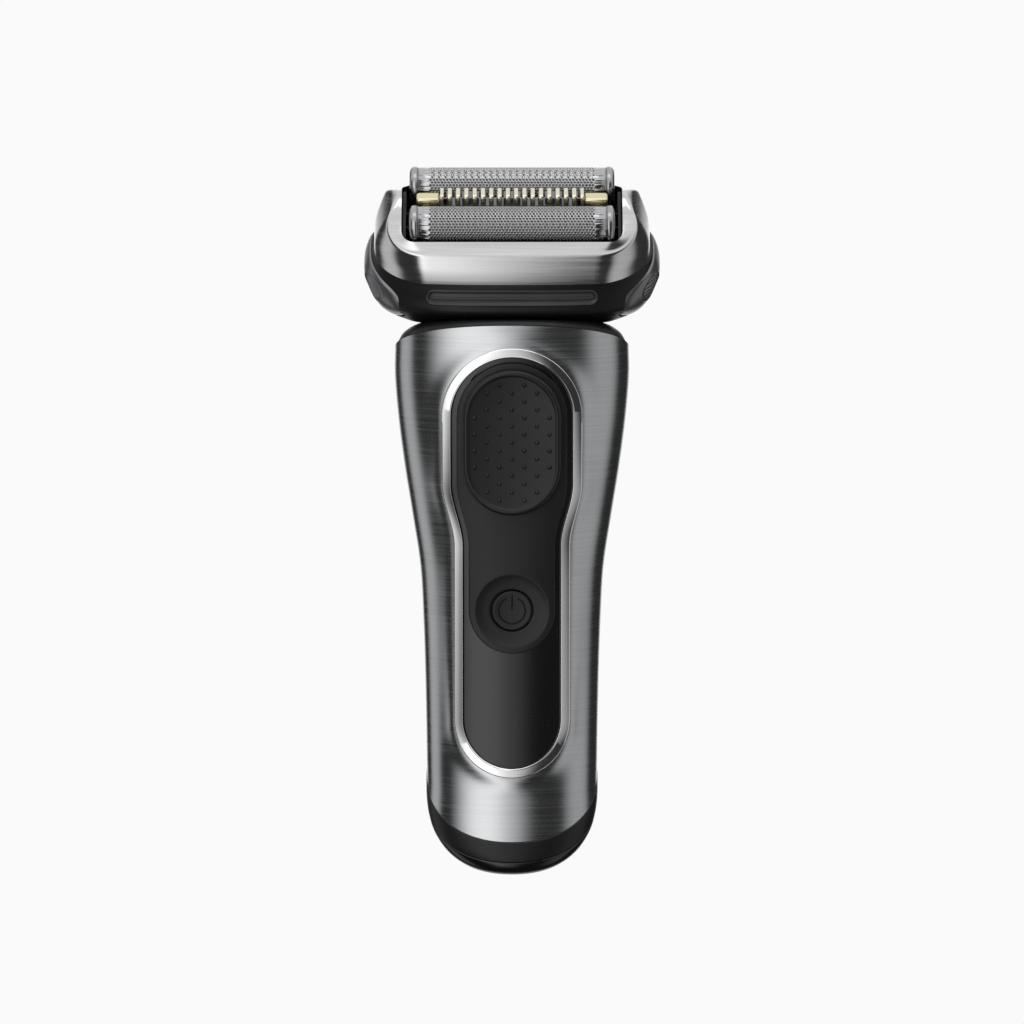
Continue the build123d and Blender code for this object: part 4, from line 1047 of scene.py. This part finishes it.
# %% [markdown]
# ## The foils
# A foil is a thin arched sheet full of fine holes. Every hole sits in a small rectangular
# cell: eight points round the cell, eight round the hole, eight faces between. Rows of cells
# are shifted by half a cell, as in real foils. The flat pattern is then bent into the arch.

# %% Foils with real holes
FOIL_V, FOIL_H, FOIL_R, FOIL_END, FOIL_FOOT = 7.6, 11.4, 4.25, 22.3, 6.5


def bend(flat, middle, radius):
    """Carry (x, s) of the flat pattern to the arch: s is the angle, or a drop below a knee."""
    x, s = flat[..., 0], flat[..., 1]
    angle = radians(-30) + np.clip(s, 0, radians(240))
    below = np.maximum(-s, 0) + np.maximum(s - radians(240), 0)
    return in_head(x, middle - radius * np.cos(angle), FOIL_H + radius * np.sin(angle) - radius * below)


def foil_pattern(pitch=0.77, columns=50, rows=25):
    """Flat quads and the few five-sided fillers of a foil, as points (x, s)."""
    start, stop = radians(10), radians(230)
    step = (stop - start) / rows
    x0 = -pitch * columns / 2
    j = np.arange(rows)
    odd = j % 2
    i, jj = np.meshgrid(np.arange(columns), j, indexing="ij")
    keep = ~((jj % 2 == 1) & (i == columns - 1))
    cx = (x0 + (i + 0.5 + 0.5 * (jj % 2)) * pitch)[keep]
    cs = (start + (jj + 0.5) * step)[keep]
    square = np.array([(-1, -1), (0, -1), (1, -1), (1, 0), (1, 1), (0, 1), (-1, 1), (-1, 0)]) / 2
    turn = np.arctan2(square[:, 1], square[:, 0])
    outer = square * (pitch, step)
    hole = np.stack([0.30 * np.cos(turn), 0.30 * np.sin(turn) / FOIL_R], -1)
    middle = np.stack([cx, cs], -1)[:, None]
    a, b = middle + outer, middle + hole
    cells = np.stack([a, np.roll(a, -1, 1), np.roll(b, -1, 1), b], 2).reshape(-1, 4, 2)
    sides = []
    for sign in (-1, 1):
        for half in (0, 1):
            s0, s1 = start + (j + half / 2) * step, start + (j + half / 2 + 0.5) * step
            near = np.where(odd == 1, x0 + pitch / 2, x0)
            far = np.full(rows, -FOIL_END)
            quad = np.stack([np.stack([far, s0], -1), np.stack([near, s0], -1),
                             np.stack([near, s1], -1), np.stack([far, s1], -1)], 1)
            sides.append(quad * (-sign, 1))
    marks = np.concatenate([[-FOIL_END], x0 + np.arange(2 * columns + 1) * pitch / 2, [FOIL_END]])
    low = np.array([-0.93, -0.4, 0.0, start / 2, start])
    levels = np.concatenate([low, radians(240) - low[::-1]])
    gx, gs = np.meshgrid(marks, levels, indexing="ij")
    flat = np.stack([gx, gs], -1)
    plain = np.stack([flat[:-1, :-1], flat[1:, :-1], flat[1:, 1:], flat[:-1, 1:]], 2)
    plain = np.delete(plain, 4, axis=1).reshape(-1, 4, 2)
    return np.concatenate([cells, *sides, plain])


def foil_sheet(name, middle):
    """The bent pattern, merged and given its thickness."""
    quads = bend(foil_pattern(), middle, FOIL_R - 0.06)
    sheet = build(name, quads.reshape(-1, 3), np.arange(quads.size // 3).reshape(-1, 4).tolist())
    thick = sheet.modifiers.new("thickness", "SOLIDIFY")
    thick.thickness, thick.offset = 0.00011, 0
    return crisp(sheet, 50)


def arch_loop(radius, foot=FOIL_FOOT):
    """Closed arch outline: round the top, then down the legs and across the foot."""
    a = np.linspace(radians(-30), radians(210), 44)
    x, y = radius * np.cos(a), FOIL_H + radius * np.sin(a)
    leg = np.linspace(0, 1, 10)[1:]
    x = np.concatenate([x, np.full(9, x[-1]), x[-1] + (x[0] - x[-1]) * leg, np.full(8, x[0])])
    y = np.concatenate([y, y[43] + (foot - y[43]) * leg, np.full(9, foot), foot + (y[0] - foot) * leg[:-1]])
    return x, y


def cap_rows(middle, side, profile):
    """Rows of arches along the head: (x, radius) pairs."""
    rows = []
    for x, radius in profile:
        v, h = arch_loop(radius, FOIL_FOOT + (FOIL_R - radius) * 0.6)
        rows.append(in_head(np.full(v.shape, side * x), middle + v, h))
    return np.stack(rows)


CAP = [(22.0, 3.9), (22.0, 4.3), (22.06, 4.4), (22.2, 4.48), (22.45, 4.5), (22.8, 4.46), (23.2, 4.3),
       (23.5, 4.0), (23.7, 3.6), (23.78, 3.1), (23.8, 2.4), (23.8, 1.0)]
for middle, word in ((FOIL_V, "front"), (-FOIL_V, "rear")):
    unit = f"{word}_foil_unit"
    finish(foil_sheet(f"{word}_foil_sheet", middle), unit, [f"{word}_foil"], FOIL)
    ends = copies(f"{word}_foil_ends", np.stack([cap_rows(middle, s, CAP) for s in (-1, 1)]))
    finish(crisp(ends, 40), unit, [f"{word}_foil_caps"], CAP_METAL)

# %% [markdown]
# ## The middle trimmer
# Between the foils stands a comb of small rounded hoops over the middle blade, with a pale
# gold skid at each end. A hoop is a rounded strip bent over the top of the comb.

# %% Comb and skids
TOOTH, GUARD_X, GUARD_TOP = 1.92, 16.6, 15.3


def hoop_path(half_v, top, foot, corner, count=12):
    """Path over the comb: up behind, round two corners, and down in front."""
    a = np.linspace(pi, pi / 2, count)
    v = np.concatenate([[-half_v, -half_v], -half_v + corner + corner * np.cos(a)])
    h = np.concatenate([[foot, (foot + top) / 2], top - corner + corner * np.sin(a)])
    return np.concatenate([v, -v[::-1]]), np.concatenate([h, h[::-1]])


def hoops():
    """Teeth of the comb: a rounded strip section carried along the path, once per tooth."""
    v, h = hoop_path(2.0, GUARD_TOP, 11.4, 0.8)
    along = np.stack([np.gradient(v), np.gradient(h)], -1)
    along /= np.linalg.norm(along, axis=1, keepdims=True)
    a = np.linspace(0, 2 * pi, 16, endpoint=False)
    across, out = 0.52 * power(np.cos(a), 0.6), 0.28 * power(np.sin(a), 0.6) - 0.28
    vv = v[:, None] - along[:, 1:] * out
    hh = h[:, None] + along[:, :1] * out
    x = (np.arange(18) - 8.5)[:, None, None] * TOOTH + across
    x = np.clip(x, -GUARD_X, GUARD_X)
    return in_head(x, np.broadcast_to(vv, (18, *vv.shape)), np.broadcast_to(hh, (18, *hh.shape)))


def block_rows(x0, x1, half_v, low, top, round_v, profile):
    """Rounded block along the head: rows of rounded rectangles that shrink at both ends."""
    a = np.linspace(0, 2 * pi, 72, endpoint=False)
    rows = []
    for x, inset in profile:
        v = (half_v - inset) * power(np.cos(a), round_v)
        middle, half = (low + top) / 2, (top - low) / 2 - inset
        rows.append(in_head(np.full(72, x0 + (x1 - x0) * x), v, middle + half * power(np.sin(a), round_v)))
    return np.stack(rows)


comb = copies("comb_hoops", hoops())
wall = [block_rows(-GUARD_X, GUARD_X, 0.2, 6.6, 12.1, 0.3, ((0, 0.05), (0.002, 0), (0.998, 0), (1, 0.05)))
        + s * 1.85 * HEAD_FRONT for s in (-1, 1)]
walls = copies("comb_walls", np.stack(wall))
finish(crisp(merged("middle_comb", comb, walls), 45), "middle_unit", ["trimmer_guard"],
       CREAM)
BLOCK = ((0, 0.5), (0.02, 0.25), (0.07, 0.08), (0.13, 0), (0.87, 0), (0.93, 0.08), (0.98, 0.25), (1, 0.5))
skids = np.stack([block_rows(s * GUARD_X, s * 22.2, 1.7, 6.0, 14.1, 0.32, BLOCK) for s in (-1, 1)])
finish(crisp(copies("gold_skids", skids), 40), "middle_unit", ["trimmer_bars"], GOLD)

# %% [markdown]
# ## The trimmer at the back
# The long-hair trimmer slides in its bay. Its cover is a rounded plate with a thicker upper
# part and a few grip ribs, drawn as rows across the plate.

# %% Rear trimmer
def plate_grid():
    """Plate by rows up the bay: rounded section, thicker near the top, ribs for the thumb."""
    a = np.linspace(0, 2 * pi, 160, endpoint=False)
    z = np.concatenate([[80.0, 80.02], np.linspace(80.3, 110.7, 230), [110.98, 111.0]])[:, None]
    end = np.clip(np.minimum(z - 80.0, 111.0 - z) / 0.8, 0, 1)
    step = np.clip((z - 96.2) / 1.4, 0, 1)
    step = step * step * (3 - 2 * step)
    half_x = 10.6 - 0.8 * (1 - np.sqrt(1 - (1 - end) ** 2))
    x = half_x * power(np.cos(a), 0.16)
    outward = np.sin(a)
    crown = 1 - 0.35 * (x / 10.6) ** 2
    rib = np.exp(-(((z - 82.4) % 2.2 - 1.1) / 0.42) ** 2) * ((z > 82.6) & (z < 91.0))
    rib = rib * np.clip((6.6 - 0.28 * (z - 83) - np.abs(x)) / 0.5, 0, 1)
    outer = 15.2 + 0.3 * crown - 0.3 * (1 - end) + 1.15 * step * crown + 0.75 * rib
    y = 13.95 + np.where(outward > 0, (outer - 13.95) * np.abs(outward) ** 0.16, 0)
    return points(np.broadcast_to(x, y.shape), y, np.broadcast_to(z, y.shape))


plate = crisp(surface("trimmer_plate", plate_grid(), first_pole=True, last_pole=True), 55)
finish(plate, "rear_trimmer", ["trimmer_slide"], SOFT_BLACK)

# %% [markdown]
# ## The rest of the frame's pieces
# Pieces that keep their CAD shape, most of them inside, take a full finish too, chosen by the
# material slot the record gives them.

# %% Finishes for the pieces kept from CAD
BY_SLOT = {"brushed_metal": BRUSHED, "soft_black": SOFT_BLACK, "matte_black": MATT_BLACK,
           "gloss_black": GLOSS_BLACK, "gold": GOLD, "polished_metal": POLISHED,
           "dark_glass": WINDOW_BLACK, "spring_steel": SPRING, "white_print": PRINT_GREY,
           "board_green": BOARD, "led": LED, "cell_blue": CELL_BLUE, "grey_plastic": GREY_PLASTIC,
           "blade_steel": STEEL, "copper": COPPER, "grey_button": BUTTON_GREY, "satin_chrome": SATIN,
           "foil_steel": FOIL}

for row in frame["record"]["subparts"]:
    cad = frame["nodes"][row["node"]]
    cad.data.materials.clear()
    cad.data.materials.append(BY_SLOT[row["material_slot"]])

# %% [markdown]
# ## Camera, floor and light
# A long lens looks slightly down on the front. The floor is plain and pale, and is kept out of
# the reflections. The room is dim with upright bands of light: a large soft box left of the
# camera, a narrow strip on each side and one behind, and a bright ceiling. Their reflections
# give the metal its bright and dark bands while the background stays nearly white.

# %% Camera and the box overhead
camera_data = bpy.data.cameras.new("camera")
camera = bpy.data.objects.new("camera", camera_data)
bpy.context.scene.collection.objects.link(camera)
bpy.context.scene.camera = camera
LENS, SENSOR, VIEW_WIDTH = 300.0, 36.0, 0.2392
ELEVATION, AIM = radians(6.5), Vector((0, 0, 0.0846))
camera_data.lens, camera_data.clip_start = LENS, 0.01
camera.location = AIM + Vector((0, -cos(ELEVATION), sin(ELEVATION))) * VIEW_WIDTH * LENS / SENSOR
camera.rotation_euler = (pi / 2 - ELEVATION, 0, 0)
bpy.context.scene.view_settings.view_transform = "Standard"

# A soft box overhead.
box = bpy.data.lights.new("top_box", "AREA")
box.shape, box.size, box.size_y, box.energy = "RECTANGLE", 0.7, 0.25, 0.5
lamp = bpy.data.objects.new("top_box", box)
bpy.context.scene.collection.objects.link(lamp)
lamp.location = (0, -0.25, 0.75)
lamp.rotation_euler = (Vector((0, 0, 0.12)) - lamp.location).to_track_quat("-Z", "Y").to_euler()

# %% Room of light around the object
PALE, DIM, BOX_LIGHT, CEILING = 0.956, 0.035, 1.5, 0.85
world = bpy.data.worlds.new("studio")
bpy.context.scene.world = world
world.use_nodes = True
room = world.node_tree
way = Sock(room, room.nodes.new("ShaderNodeTexCoord").outputs["Generated"])
side, behind, up = (way.node("ShaderNodeSeparateXYZ", out=n, Vector=way) for n in range(3))
bearing = side.maths("ARCTAN2", side, behind * -1.0)


def strip(middle, half, level):
    """Upright band of light round one bearing, both given in degrees from the front."""
    away = bearing - radians(middle)
    return away.maths("COSINE", away).eased(cos(radians(half)), 1.0, 0.0, level)


# Looking down, the box's edges come closer together, so the foil frame shows both of them.
steep = bearing * up.eased(-0.25, -0.6, 1.0, 1.9)
left_box = steep.eased(radians(-70), radians(-26)) * steep.eased(radians(-18), radians(18), BOX_LIGHT, 0.0)
bands = left_box + strip(-109, 24, 0.6) + strip(78, 34, 0.5) + strip(180, 30, 1.2)
bands = bands * up.eased(-0.95, -0.8) * up.eased(0.3, 0.55, 1.0, 0.0)
lit = bands + up.eased(0.28, 0.55, 0.0, CEILING) + DIM
seen = Sock(room, room.nodes.new("ShaderNodeLightPath").outputs["Is Camera Ray"])
sky = room.nodes["Background"]
sky.inputs["Color"].default_value = (PALE, PALE, PALE, 1)
room.links.new((seen + (1.0 - seen) * lit).socket, sky.inputs["Strength"])
print("nodes in the room:", len(room.nodes))

# %% Floor
pale, shader, _ = material("pale_floor", (0.0, 0.0, 0.0), 0.9, Specular_IOR_Level=0.0)
shader.inputs["Emission Color"].default_value = (1, 1, 1, 1)
shader.inputs["Emission Strength"].default_value = PALE
a = np.linspace(0, 2 * pi, 96, endpoint=False)
rims = ((258.0, -2.0), (260.0, -1.0), (259.0, 0.0), (150.0, 0.0), (20.0, 0.0))
disc = np.stack([points(r * np.cos(a), r * np.sin(a), z) for r, z in rims]) - SHIFT
floor = surface("studio_floor", disc, first_pole=True, last_pole=True)
floor.data.materials.append(pale)
floor.visible_diffuse = floor.visible_glossy = False
floor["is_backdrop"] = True

# %% Sizes
low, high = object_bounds()
